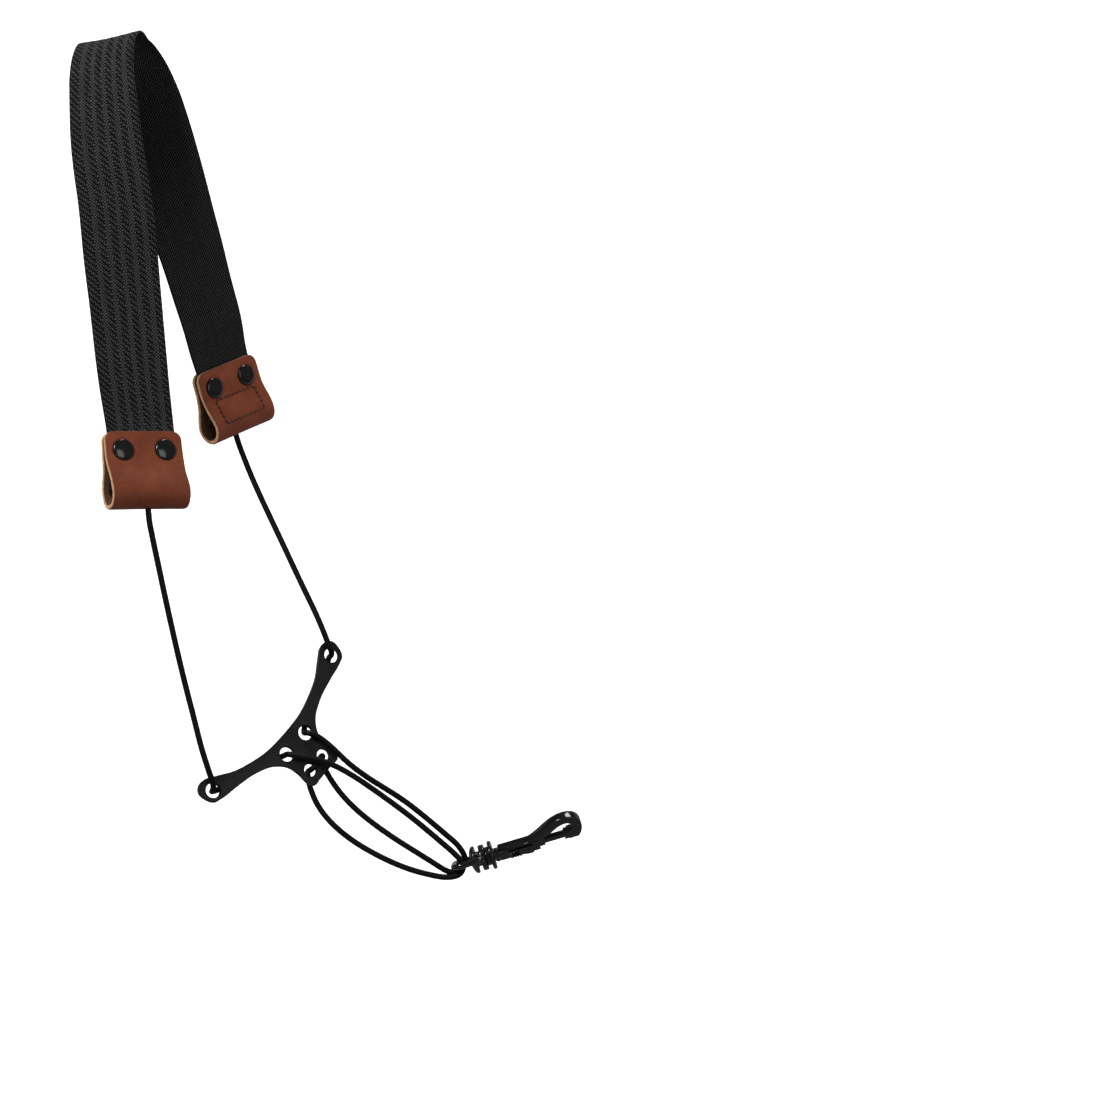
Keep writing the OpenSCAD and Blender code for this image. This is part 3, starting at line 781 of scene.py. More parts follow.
# ---------------------------------------------------------------- webbing
# band centre x, y, z, then its width direction: yaw in degrees and z part
BAND_STATIONS = [
    (12.4, -9.5, -176.6, 28, 0), (9.5, -11, -147, 22, 0), (6.2, -12, -114.7, 14, 0),
    (3.3, -13, -85.5, 5, 0), (0.1, -13, -64.6, -5, 0), (-2.5, -12.8, -38.6, -14, 0),
    (-3.6, -11.6, -16, -23, 0), (-2.8, -7.6, -4.4, -28, 0.06), (-0.9, 0, 0, -31, 0.13),
    (2.1, 7.6, -2.7, -28, 0.06), (7.5, 12.2, -11.5, -22, 0), (13.3, 14.4, -25.6, -11, 0),
    (18, 16, -41.3, 3, 0), (26, 19, -68.2, 17, 0), (33.2, 23, -93.8, 29, 0),
    (38.2, 26.6, -110.8, 35, 0), (42.8, 31, -128.5, 39, 0.05), (47.4, 37, -146.3, 43, 0.18),
]  # fmt: skip


def tucked_end(tab, bottom, lean):
    """The band inside a tab, from its bottom up; lean moves it in y below the leaves."""
    z = np.linspace(bottom, 3.0, 18)
    y = np.clip((-LEAF_LENGTH - 1 - z) * lean, 0.0, 5.1)
    return tab.place(np.stack([z * 0, y, z], 1))


def band_path():
    """Centre line, width directions and distance along."""
    f, b = front_tab, back_tab
    n = 40
    inside, above = 12, 3  # first and last stations, below and above each tab's top
    centres = [f.origin + inside * f.down, f.origin - above * f.down]
    centres += [row[:3] for row in BAND_STATIONS]
    centres += [b.origin - above * b.down, b.origin + inside * b.down]
    wides = [f.x, f.x, *[yaw(*row[3:]) for row in BAND_STATIONS], b.x, b.x]
    # the spans inside the tabs only steer the curve; the tucked ends take their place
    path, wide = catmull(centres, n)[n:-n], catmull(wides, n)[n:-n]
    head = tucked_end(f, bottom=-32.6, lean=0.37)
    tail = tucked_end(b, bottom=-28.6, lean=0.0)[::-1]
    path = np.concatenate([head[:-1], path, tail[1:]])
    wide = np.concatenate(
        [np.repeat(f.x[None], len(head) - 1, 0), wide, np.repeat(b.x[None], len(tail) - 1, 0)]
    )
    path, wide, along = resample(path, 0.5, wide)
    return smoothed(path, 13, 3), smoothed(wide, 31, 3), along


def build_webbing():
    path, wide, along = band_path()
    tangent = tangents(path)
    wide = wide - np.sum(wide * tangent, 1)[:, None] * tangent
    wide /= np.linalg.norm(wide, axis=1)[:, None]
    normal = np.cross(tangent, wide)

    # cross-section: round edges, and ribs on both faces
    hw, ht = WEB_WIDTH / 2, WEB_THICK / 2
    turn = np.linspace(0, math.pi / 2, 5)[:-1]
    turn_back = np.linspace(math.pi / 2, 0, 5)[1:]
    half_x = np.concatenate(
        [
            -hw + ht * (1 - np.cos(turn)),
            np.linspace(-hw + ht, hw - ht, 72),
            hw - ht * (1 - np.cos(turn_back)),
        ]
    )
    edge = np.clip((np.abs(half_x) - (hw - ht)) / ht, 0, 1)
    rib = 0.055 * np.cos((half_x + RIB_START) / RIB_PITCH * 2 * math.pi)
    rib = rib * (np.abs(half_x - RIB_CENTRE) < 14.5) * (edge == 0)
    half_z = ht * np.sqrt(1 - edge**2) + rib
    x = np.concatenate([half_x, half_x[::-1][1:-1]])
    z = np.concatenate([half_z, -half_z[::-1][1:-1]])
    around = len(x)

    # a slow bow, curled edges and an uneven width, fading out into the tabs
    free = np.minimum(np.clip((along - 34) / 20, 0, 1), np.clip((along[-1] - 34 - along) / 20, 0, 1))
    slow = 0.22 * np.sin(along / 47.0)[:, None] * (x / hw)[None, :] ** 2
    curl = 0.10 * np.sin(along / 6.3 + 1.0)[:, None] * (np.abs(x) / hw)[None, :] ** 6
    bow = (slow + curl) * free[:, None]
    stretch = (1 + 0.004 * np.sin(along / 9.0) * free)[:, None]
    verts = (
        path[:, None, :]
        + (x[None, :] * stretch)[..., None] * wide[:, None, :]
        + (z[None, :] + bow)[..., None] * normal[:, None, :]
    )
    uv = np.stack([np.tile(x, len(path)), np.repeat(along, around)], 1)
    back = (np.arange(around) < len(half_x)).astype(int)
    face_mat = np.concatenate([np.tile(back, len(path) - 1), [0, 0]])
    faces = flipped(ring_faces(len(path), around))
    ob = mesh("strap_webbing", verts.reshape(-1, 3), faces, [WEB, WEB_BACK], uv, face_mat)
    fit(ob, "neckband", "neck_webbing")


# ---------------------------------------------------------------- leather tabs
class Strip:
    """Middle line of a tab's folded strip in (y, z), outer leaf first, with outward normals."""

    def __init__(self, tab):
        half, leaf = SLOT / 2 + LEATHER_THICK / 2, LEAF_LENGTH + 0.5
        centre, radius = tab.height - LOOP_RADIUS, LOOP_RADIUS - LEATHER_THICK / 2
        drop = centre - leaf
        # angle where the strip's straight slope meets the loop
        meet = math.atan2(drop, half) - math.acos(radius / math.hypot(half, drop))
        loop = [
            (radius * math.cos(a), radius * math.sin(a) - centre)
            for a in np.linspace(meet, -math.pi - meet, 60)
        ]
        corners = np.array([(half, 0.0), (half, -leaf), *loop, (-half, -leaf), (-half, 0.0)])
        corners = corners * np.array([-tab.inner, 1.0])
        path, s = resample(corners, 0.45)
        ease = np.clip((np.minimum(s, s[-1] - s) - 5.0) / 7.0, 0, 1)[:, None]
        path = path * (1 - ease) + smoothed(path, 17, 3) * ease
        path[0], path[-1] = corners[0], corners[-1]
        t = tangents(path)
        self.path, self.along = path, lengths(path)
        self.normal = tab.inner * np.stack([t[:, 1], -t[:, 0]], 1)
        self.length = self.along[-1]

    def outside(self, x, at, lift):
        """Point above the outward surface, at a distance along the strip."""
        y, z = (
            np.interp(at, self.along, self.path[:, i])
            + (LEATHER_THICK / 2 + lift) * np.interp(at, self.along, self.normal[:, i])
            for i in (0, 1)
        )
        return vec(x, y, z)


def outward_depth(strip, x, share):
    """Height of the outward surface over the middle line: rivet dents, thread line, edges."""
    s, total = strip.along[:, None], strip.length
    depth = np.full_like(x, LEATHER_THICK / 2)
    for rivet_x in (-RIVET_X, RIVET_X):
        for rivet_s in (RIVET_Z, total - RIVET_Z):
            d = np.hypot(x - rivet_x, s - rivet_s)
            dent = -0.42 * np.exp(-((np.maximum(d - 5.2, 0) / 0.75) ** 2))
            depth += dent + 0.12 * np.exp(-(((d - 7.2) / 0.8) ** 2))
    # the surface sinks along the stitched rectangle
    s0, s1 = total - STITCH_Z - STITCH_H, total - STITCH_Z
    dx, dy = np.abs(x) - STITCH_W / 2, np.abs(s - (s0 + s1) / 2) - STITCH_H / 2
    outer = np.hypot(np.maximum(dx, 0), np.maximum(dy, 0))
    dist = np.abs(np.where((dx < 0) & (dy < 0), np.maximum(dx, dy), outer))
    depth -= 0.07 * np.exp(-((dist / 0.8) ** 2))
    depth += 0.05 * np.sin(x / 7.0 + s / 9.0)
    edge = np.clip((np.abs(share) - 0.965) / 0.035, 0, 1)
    depth -= 0.22 * edge[None, :] ** 2
    near = np.minimum(strip.along, total - strip.along)
    return depth - 0.25 * (1 - np.clip(near / 0.45, 0, 1))[:, None]


def build_leather(tab, strip):
    s = strip.along
    rows, columns = len(s), 96
    near = np.minimum(s, strip.length - s)
    corner = 5.0
    arc = np.sqrt(np.clip(corner**2 - (corner - near) ** 2, 0, None))
    width = np.where(near < corner, TAB_WIDTH / 2 - corner + arc, TAB_WIDTH / 2)
    width = width + 0.12 * np.sin(s / 5.1) + 0.08 * np.sin(s / 2.3 + 1)
    share = np.linspace(-1, 1, columns)
    x = share[None, :] * (width[:, None] - 0.28)
    depth = outward_depth(strip, x, share)
    fuzz = rng.normal(0, 0.05, (rows, 2))
    right, left = (width + fuzz[:, 0])[:, None], -(width + fuzz[:, 1])[:, None]
    high = np.full_like(right, LEATHER_THICK / 2 - 0.42)
    low = np.full_like(right, -LEATHER_THICK / 2 + 0.35)
    # ring: outward face left to right, two points on the cut edge, the other face back,
    # two points on the other cut edge
    ring_x = np.concatenate([x, right, right, x[:, ::-1], left, left], 1)
    under = np.full_like(x, -LEATHER_THICK / 2)
    ring_n = np.concatenate([depth, high, low, under, low, high], 1)
    around = ring_x.shape[1]
    yz = strip.path[:, None, :] + ring_n[..., None] * strip.normal[:, None, :]
    local = np.concatenate([ring_x[..., None], yz], 2).reshape(-1, 3)
    kind = np.ones(around, int)
    kind[: columns - 1] = 0
    kind[columns + 2 : 2 * columns + 1] = 2
    face_mat = np.concatenate([np.tile(kind, rows - 1), [1, 1]])
    uv = np.stack([ring_x.ravel(), np.repeat(s, around)], 1)
    faces = ring_faces(rows, around)
    if tab.inner > 0:  # the strip runs the other way round, so its faces would point in
        faces = flipped(faces)
    name = f"{tab.name}_leather_tab"
    ob = mesh(name, tab.place(local), faces, [LEATHER, RAW, FLESH], uv, face_mat)
    fit(ob, "neckband", f"{tab.name}_tab_leather", crease=55)


def build_stitches(tab, strip):
    """Short humped lengths of thread that dive into the inner leaf."""
    across_count, along_count, gap = 10, 5, 0.5
    left, low = -STITCH_W / 2, strip.length - STITCH_Z - STITCH_H
    runs = []
    for row in (strip.length - STITCH_Z, low):
        for i in range(across_count):
            a = left + STITCH_W / across_count * i
            runs.append(((a + gap, row), (a + STITCH_W / across_count - gap, row)))
    for x in (left, -left):
        for i in range(along_count):
            a = low + STITCH_H / along_count * i
            runs.append(((x, a + gap), (x, a + STITCH_H / along_count - gap)))
    parts = []
    for (x0, s0), (x1, s1) in runs:
        j = rng.normal(0, 0.06, 4)
        points = []
        for u in np.linspace(0, 1, 9):
            x = x0 + j[0] + (x1 + j[1] - x0 - j[0]) * u
            s = s0 + j[2] + (s1 + j[3] - s0 - j[2]) * u
            points.append(strip.outside(x, s, -0.42 + 0.62 * math.sin(math.pi * u) ** 0.6))
        v, f = tube(np.array(points), 0.46, 10)
        parts.append((tab.place(v), f))
    ob = mesh(f"{tab.name}_thread_stitches", *join(parts), [THREAD])
    fit(ob, "neckband", f"{tab.name}_tab_stitching")


# distance out from the leather, radius
RIVET_CAP = [
    (-0.6, 5.2), (-0.55, 5.58), (0.3, 5.62), (0.8, 5.2), (1.15, 4.1), (1.42, 2.3), (1.5, 0.02),
]  # fmt: skip


def build_rivets(tab, kind, y_side):
    """Two caps on one side of the tab; posts also have a shank through it."""
    end = TAB_THICK / 2
    shank = [(-end - 0.5, 0.05), (-end - 0.5, 1.5), (end, 1.5), (end, 0.05)]
    parts = []
    for x in (-RIVET_X, RIVET_X):
        v, f = lathe(rounded(RIVET_CAP, 0.5))
        y = y_side * (end - 0.02 + v[:, 0])
        verts = np.stack([x + v[:, 1], y, -RIVET_Z + v[:, 2]], 1)
        parts.append((verts, f if y_side < 0 else flipped(f)))
        if kind == "posts":
            v, f = lathe(rounded(shank, 0.2), 24)
            parts.append((np.stack([x + v[:, 1], v[:, 0], -RIVET_Z + v[:, 2]], 1), f))
    v, f = join(parts)
    ob = mesh(f"{tab.name}_rivet_{kind}_black", tab.place(v), f, [RIVET])
    fit(ob, "neckband", f"{tab.name}_tab_rivet_{kind}")


def build_tab(tab):
    strip = Strip(tab)
    build_leather(tab, strip)
    build_stitches(tab, strip)
    build_rivets(tab, "caps", -tab.inner)
    build_rivets(tab, "posts", tab.inner)


# ---------------------------------------------------------------- braided cord
def braid(name, path, weights, side=TUBE_SIDE, radius=1.52):
    """Twelve carriers plaited round each other along a path, with a weight per path point.

    Returns the object and a weight per vertex.
    """
    path, weights, s = resample(path, CORD_STEP, weights[:, None])
    path = smoothed(path, 5, 2)
    a = angles(CORD_AROUND)
    turn = 6 * a[None, :] / (2 * math.pi)
    right = turn + s[:, None] / PLAIT_LENGTH
    left = turn - s[:, None] / PLAIT_LENGTH
    right_hump = np.sqrt(np.abs(np.cos(math.pi * right)))
    left_hump = np.sqrt(np.abs(np.cos(math.pi * left)))
    over = np.sin(math.pi * right) * np.sin(math.pi * left)
    height = np.maximum(right_hump * (0.72 + 0.28 * over), left_hump * (0.72 - 0.28 * over))
    verts, faces = sweep(path, radius - 0.20 + 0.31 * height, CORD_AROUND, side)
    uv = np.stack([np.tile(a * radius, len(path)), np.repeat(s, CORD_AROUND)], 1)
    # painted highlight: a mask of the plait's tops, which lights the cord's colour
    lit = (np.clip((height - 0.62) / 0.36, 0, 1) ** 2.4).ravel()
    ob = mesh(name, verts, faces, [CORD], uv, attributes={"plait_highlight": lit})
    return ob, np.repeat(weights[:, 0], CORD_AROUND)


def span(points, width, hold):
    """A free length of cord: an easy curve that keeps its two ends over the hold length."""
    p, s = resample(catmull(points, 24), 0.3)
    q = smoothed(p, width, 2)
    e = np.clip(np.minimum(s, s[-1] - s) / hold, 0, 1)
    e = (e * e * (3 - 2 * e))[:, None]
    return p * (1 - e) + q * e


def chain(*runs):
    """Runs of (points, start weight, end weight) end to end, weights even along each."""
    path, weights = [], []
    for p, w0, w1 in runs:
        p = np.array(p, float)
        s = lengths(p)
        path.append(p)
        weights.append(w0 + (w1 - w0) * s / s[-1])
    path, weights = np.concatenate(path), np.concatenate(weights)
    keep = np.concatenate([[True], np.linalg.norm(np.diff(path, axis=0), axis=1) > 0.05])
    path, weights = path[keep], weights[keep]
    path, weights, _ = resample(path, 0.3, weights[:, None])
    return smoothed(path, 7, 3), weights[:, 0]


def curve_in(frame, points):
    return catmull([frame.at(*p) for p in points], 12)


def build_upper_cord(tab, yoke_side, leaving, free, at_yoke):
    """Tab to the yoke's end hole. leaving: (distance, direction) from the tab's exit."""
    start, down, hole = tab.exit, tab.down, yoke_side * END_ACROSS
    points = [start + 2 * down]
    points += [start + distance * unit(direction) for distance, direction in leaving]
    points += [vec(*p) for p in free] + [yoke.at(*p) for p in at_yoke]
    path, weights = chain(
        ([start - 1.5 * down, start + 1.5 * down], 0, 0),
        (span(points, width=61, hold=9.0), 0, 1),
        ([yoke.at(0, hole, z) for z in (1.4, 0.4, -0.8, -1.5)], 1, 1),
    )
    ob, weights = braid(f"{tab.name}_cord", path, weights)
    blend(ob)
    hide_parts(f"{tab.name}_upper_cord")
    return ob


def build_upper_cords():
    front = build_upper_cord(
        front_tab,
        yoke_side=-1,
        leaving=[(7, [0.1, -0.06, -1]), (16, [0.16, 0.02, -1])],
        free=[
            (31.2, -11.5, -299.2), (39.2, -9.5, -334.5), (44.6, -9.6, -355), (48.6, -10.2, -371),
        ],
        at_yoke=[(-4.2, -47.4, 5.2), (-1.6, -49.2, 4.2), (-0.3, -END_ACROSS, 2.3)],
    )  # fmt: skip
    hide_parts("end_hole_cord_bights")
    build_upper_cord(
        back_tab,
        yoke_side=1,
        leaving=[(7, [0.33, -0.02, -1])],
        free=[(84.6, 46, -263.4), (96.5, 42.5, -288), (104.2, 40, -303.4)],
        at_yoke=[(-4.4, 51, 5.2), (-1.6, 50.4, 4.2), (-0.3, END_ACROSS, 2.3)],
    )


# The four strands between yoke and eye, each from the yoke: points in the yoke's frame,
# then in space, then in the eye's frame. Far is the yoke's and the eye's +y side.
UPPER_FAR = (
    [(CENTRE_ALONG, CENTRE_ACROSS, 1.3), (16.8, 7.95, 2.3), (19.2, 8.8, 3.9), (23.4, 10.6, 4.3)],
    [
        (117.7, 25.5, -373.9), (131.2, 27.4, -384), (146.3, 29.6, -393.4),
        (159.5, 31.2, -403.8), (169.3, 32, -412.3),
    ],
    [(3.4, 2.3, 12.6), (5.2, 2.3, 8.6), (5.9, 2.3, 6.2)],
)  # fmt: skip
UPPER_NEAR = (
    [
        (CENTRE_ALONG, -CENTRE_ACROSS, 1.3), (16.8, -7.85, 2.3), (19.2, -7.2, 4.2),
        (23, -5.2, 5.4), (28.5, -1, 6.6),
    ],
    [
        (122.5, 21.4, -381.4), (135.9, 23.8, -391), (147.5, 26, -399.6),
        (158.4, 27.2, -408.4), (167.8, 27.7, -416.5),
    ],
    [(0.9, -2.3, 8.4), (2.6, -2.3, 5.3)],
)  # fmt: skip
LOWER_FAR = (
    [(TAIL_ALONG, TAIL_ACROSS, -2.6), (31.5, TAIL_ACROSS, -3.8), (33, 5.2, -6)],
    [
        (107.2, 32.6, -380.4), (113, 33, -389.6), (122.1, 33, -399.4),
        (135.8, 32.8, -410.2), (147.8, 32.5, -418.2), (160, 32.3, -425.6),
    ],
    [(-6.9, 2.3, 0.5), (-4.4, 2.3, -1.9), (-2.8, 2.3, -2.9)],
)  # fmt: skip
LOWER_NEAR = (
    [(TAIL_ALONG, -TAIL_ACROSS, -2.6), (31.5, -TAIL_ACROSS, -3.8), (32.6, -TAIL_ACROSS, -6)],
    [
        (99.4, 27.2, -390), (102.8, 27.2, -397.4), (109, 27.2, -405.4), (122.3, 27.3, -416.5),
        (135.8, 27.5, -424.2), (148, 27.6, -429.8), (159.9, 27.7, -433.4),
    ],
    [(-6.75, -2.3, -3.9), (-3, -2.3, -4.85)],
)  # fmt: skip
# turns round the eye, in its frame, from the upper strand to the lower
TURN_FAR = [
    (6.02, 2.3, 5.8), (6.45, 2.3, 3.9), (6.2, 2.3, 1), (4.8, 2.3, -1.8), (2.4, 2.3, -3.6),
    (-0.6, 2.3, -4), (-2.4, 2.3, -3.15),
]  # fmt: skip
TURN_NEAR = [
    (2.8, -2.3, 4.95), (3.9, -2.3, 3), (4.6, -2.3, 0.9), (4.6, -2.3, -1.2), (3.3, -2.3, -3.6),
    (1, -2.3, -4.9), (-2.6, -2.3, -4.95),
]  # fmt: skip
# over the front of the yoke between the tail holes, in its frame
BRIDGE = [
    (TAIL_ALONG, -TAIL_ACROSS, -2.2), (TAIL_ALONG, -TAIL_ACROSS, -1), (31.4, -5.2, 1.2),
    (31.7, -3.4, 2.7), (31.8, 0, 3.2), (31.7, 3.4, 2.7),
    (31.4, 5.2, 1.2), (TAIL_ALONG, TAIL_ACROSS, -1), (TAIL_ALONG, TAIL_ACROSS, -2.2),
]  # fmt: skip
# behind the yoke from an end hole to a centre hole, in its frame, +y side
REAR = [
    (0, END_ACROSS, -1.1), (0.1, 49.9, -2.2), (1.2, 48.2, -3.7), (4, 42, -3.4), (8, 31, -3.3),
    (14, 13.5, -3.3), (15.6, 9.9, -2.9), (16.5, 8.1, -1.2), (CENTRE_ALONG, CENTRE_ACROSS, 0.9),
]  # fmt: skip


def strand(points, width, hold):
    at_yoke, free, at_eye = points
    placed = [yoke.at(*p) for p in at_yoke] + [vec(*p) for p in free] + [eye.at(*p) for p in at_eye]
    return span(placed, width, hold)


def build_cord_run():
    """In behind one end hole, out at the centre hole, round the eye and back, over the tail
    holes and the same again in reverse on the far side."""
    upper = dict(width=51, hold=14.0)
    lower = dict(width=51, hold=16.0)
    rear_near = curve_in(yoke, [(x, -y, z) for x, y, z in REAR])
    path, weights = chain(
        (rear_near, 0, 0),
        (strand(UPPER_NEAR, **upper), 0, 1),
        (curve_in(eye, TURN_NEAR), 1, 1),
        (strand(LOWER_NEAR, **lower)[::-1], 1, 0),
        (curve_in(yoke, BRIDGE), 0, 0),
        (strand(LOWER_FAR, **lower), 0, 1),
        (curve_in(eye, TURN_FAR)[::-1], 1, 1),
        (strand(UPPER_FAR, **upper)[::-1], 1, 0),
        (curve_in(yoke, REAR)[::-1], 0, 0),
    )
    ob, weights = braid("adjusting_cord_run", path, weights, side=yoke.z)
    blend(ob)
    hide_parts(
        "upper_strand_far",
        "upper_strand_near",
        "lower_strand_far",
        "lower_strand_near",
        "rear_cord_runs",
        "tail_cord_bridge",
        "eye_cord_turns",
    )


def build_knot(tab):
    """A stopper knot in the loop: an overhand knot pulled tight, with its tail."""
    t = angles(48)
    x = np.sin(t) + 2 * np.sin(2 * t)
    y = np.cos(t) - 2 * np.cos(2 * t)
    knot = (np.stack([x, y, -np.sin(3 * t) * 1.35], 1) * 0.98)[:44:2]
    middle = -tab.height + LEATHER_THICK + 5.0
    knot = knot * vec(0.92, 0.92, 0.9) + vec(tab.exit_x, 0, middle)
    tail_z = (middle - 3.4, -tab.height + 0.2, -tab.height - 0.4)
    tail = [tab.at(tab.exit_x, 0, z) for z in tail_z]
    path = catmull([*tab.place(knot), *tail], 8)
    ob, _ = braid(f"{tab.name}_stopper_knot", path, np.zeros(len(path)), radius=1.4)
    fit(ob, "neckband", f"{tab.name}_cord_knot")


# ---------------------------------------------------------------- yoke plate
# one half of the outline: across, along the pull
YOKE_HALF = [
    (6, 8.4), (13, 7.9), (24.5, 5.2), (34.5, 1.5), (43.7, -4.2), (48.6, -7), (53, -7.2),
    (56.2, -4.6), (56.2, 0.2), (53.8, 4.9), (50, 6.3), (39.5, 8.2), (26.8, 11.3), (17.2, 16.2),
    (12.6, 22), (11.4, 29.3), (11.6, 35), (9.6, 38.6), (5.6, 38.5),
]  # fmt: skip
# along, across, radius; each is mirrored
YOKE_HOLES = [
    (0, END_ACROSS, 3.9),
    (CENTRE_ALONG, CENTRE_ACROSS, 3.9),
    (TAIL_ALONG, TAIL_ACROSS, 3.4),
]


def build_yoke():
    corners = [(x, y) for y, x in YOKE_HALF] + [(x, -y) for y, x in YOKE_HALF[::-1]]
    holes = [circle(x, sign * y, radius) for x, y, radius in YOKE_HOLES for sign in (-1, 1)]
    outline = catmull(corners, 10, closed=True)
    v, f = plate(outline, thickness=2.8, bevel=0.42, holes=holes)
    ob = mesh("yoke_plate_satin", yoke.place(v), f, [YOKE])
    fit(ob, "yoke", "yoke_plate", crease=50)


# ---------------------------------------------------------------- swivel eye and hook
def black_part(name, part, rides, replaced, frame=hook, crease=50):
    v, f = part
    ob = mesh(name, frame.place(v), f, [GLOSS])
    fit(ob, rides, replaced, crease)


def build_eye():
    """A rounded rectangle of round bar, with a collar over its open side."""
    length, half_width, corner, bar = 16.4, 9.8, 4.0, 1.7
    gap = 5.2  # half the open side
    points = [(length, gap)]
    # centre along and across, then the turn's first angle
    for x, y, first in (
        (length - corner, half_width - corner, 0),
        (corner, half_width - corner, 90),
        (corner, -half_width + corner, 180),
        (length - corner, -half_width + corner, 270),
    ):
        for a in np.radians(np.linspace(first, first + 90, 14)):
            points.append((x + corner * math.cos(a), y + corner * math.sin(a)))
    points.append((length, -gap))
    path, _ = resample(np.array([(x, y, 0.0) for x, y in points]), 0.35)
    loop = tube(smoothed(path, 5, 2), bar, 24, (0, 0, 1))
    x0, x1, bore, radius = length - 2.0, length + 1.0, 2.58, 6.85
    collar = lathe(rounded([(x0, bore), (x0, radius), (x1, radius), (x1, bore)], 0.75, 8))
    black_part("swivel_eye_black", join([loop, collar]), "eye", "swivel_eye", frame=eye)


# Turned profiles below are (x along the hook, radius) unless noted.
SWIVEL_RIVET = [
    (8.55, 0.05), (8.75, 2.6), (9.3, 4.9), (10.2, 6.6), (11.0, 7.3), (12.1, 7.3), (12.4, 7.0),
    (12.45, 4.1), (14.3, 3.9), (14.32, 2.5), (26.0, 2.5), (26.0, 0.05),
]  # fmt: skip
WASHER = [(17.46, 2.56), (17.46, 5.0), (19.54, 5.0), (19.54, 2.56)]
# x is along the pin
CROSS_PIN = [
    (-5.2, 0.05), (-5.15, 0.8), (-4.8, 1.35), (-4.2, 1.5), (-3.6, 1.3), (-3.5, 0.9), (3.2, 0.9),
    (3.3, 0.05),
]  # fmt: skip


def build_swivel():
    rivet = lathe(rounded(SWIVEL_RIVET, 0.35))
    black_part("swivel_rivet_black", rivet, "hook", "swivel_rivet")
    washer = lathe(rounded(WASHER, 0.5, 6))
    black_part("swivel_washer_black", washer, "hook", "swivel_washer")
    v, f = lathe(rounded(CROSS_PIN, 0.2), 32)
    pin = v[:, [1, 2, 0]] + vec(23.2, 0, 0), f
    black_part("swivel_cross_pin_black", pin, "hook", "swivel_cross_pin")


BARREL_HALF, BORE = 3.1, 2.12
FLANGE = [(19.6, 2.52), (19.6, 7.6), (21.6, 7.6), (21.62, 3.1), (24.7, 3.1), (24.7, 2.52)]
TIP_SOCKET = [
    (61.2, 0.05), (61.2, 2.2), (59.95, 2.25), (59.9, 3.1), (66.6, 3.1), (67.4, 2.2), (67.4, 0.05),
]  # fmt: skip
NOSE = [(45.6, BORE), (45.6, 3.0), (49.2, 3.0), (49.2, BORE)]
# the hook's arm in its own plane: x, z
ARM_OUTER = [
    (37.5, 2.9), (42, 4.0), (46, 6.1), (50.6, 9), (55.4, 11.6), (59.9, 12.9), (64.5, 12.8),
    (68.1, 11.1), (70.1, 7.8), (70.3, 3.6), (69.2, 0),
]  # fmt: skip
ARM_TIP = [(67.4, -2.4), (62, -2.4), (62, 3)]
ARM_INNER = [
    (64.2, 3), (65.2, 5), (64.8, 7.3), (62.6, 8.6), (59.6, 8.3), (56.4, 6.9), (53.4, 5),
    (51, 3.8), (49, 3),
]  # fmt: skip
ARM_ROOT = [(48, 0.5), (37.5, 0.5)]


def barrel():
    """Square barrel with its lug slot and bolt bore cut, and its edges rounded."""
    h = BARREL_HALF
    ob = mesh("barrel", *box(24.5, 46.2, -h, h, -h, h), [GLOSS])
    slot = mesh("lug_slot", *box(30.6, 42.6, -6, -0.5, -1.12, 1.12), [GLOSS])
    bore = mesh("bolt_bore", *lathe([(27.0, BORE), (52.0, BORE)], 40), [GLOSS])
    for cutter in (slot, bore):
        cut = ob.modifiers.new("cut", "BOOLEAN")
        cut.object = cutter
        cut.operation = "DIFFERENCE"
        cut.solver = "EXACT"
    bevel = ob.modifiers.new("bevel", "BEVEL")
    bevel.width = 0.55 * MM
    bevel.segments = 3
    bevel.limit_method = "ANGLE"
    bevel.angle_limit = math.radians(35)
    me = evaluated(ob)
    verts = np.array([v.co for v in me.vertices], float).reshape(-1, 3) / MM
    faces = [list(p.vertices) for p in me.polygons]
    for temporary in (ob, slot, bore):
        bpy.data.objects.remove(temporary)
    bpy.data.meshes.remove(me)
    return verts, faces


def build_hook_body():
    outline = np.concatenate([catmull(ARM_OUTER, 10), ARM_TIP, catmull(ARM_INNER, 10), ARM_ROOT])
    square = barrel()
    v, f = plate(outline, thickness=5.4, bevel=0.55)
    arm = np.stack([v[:, 0], -v[:, 2], v[:, 1]], 1), f
    flange = lathe(rounded(FLANGE, 0.7, 8))
    socket = lathe(rounded(TIP_SOCKET, 0.4))
    nose = lathe(rounded(NOSE, 0.35, 5))
    parts = join([square, arm, flange, socket, nose])
    black_part("hook_body_gloss", parts, "hook", "hook_body", crease=42)


BOLT = [(38.0, 0.05), (38.0, 2.05), (60.3, 2.05), (61.1, 1.3), (61.12, 0.05)]
# ridged side of the thumb lug: x, height above its base
LUG_SIDE = [
    (29.6, 0.0), (29.6, 1.25), (30.2, 1.75), (31.0, 2.15), (31.7, 1.45), (32.4, 2.2),
    (33.1, 1.45), (33.8, 2.25), (34.5, 1.45), (35.2, 2.3), (36.0, 1.5), (37.4, 1.55),
    (38.6, 2.0), (41.4, 2.35), (42.4, 2.0), (42.6, 1.3), (42.6, 0.0),
]  # fmt: skip
LUG_BASE_Y = -3.16  # just clear of the barrel
# y, radius
LUG_PIN = [(-1.45, 0.05), (-1.45, 0.8), (-5.5, 0.8), (-5.62, 0.05)]
LUG_PIN_X = 40.6


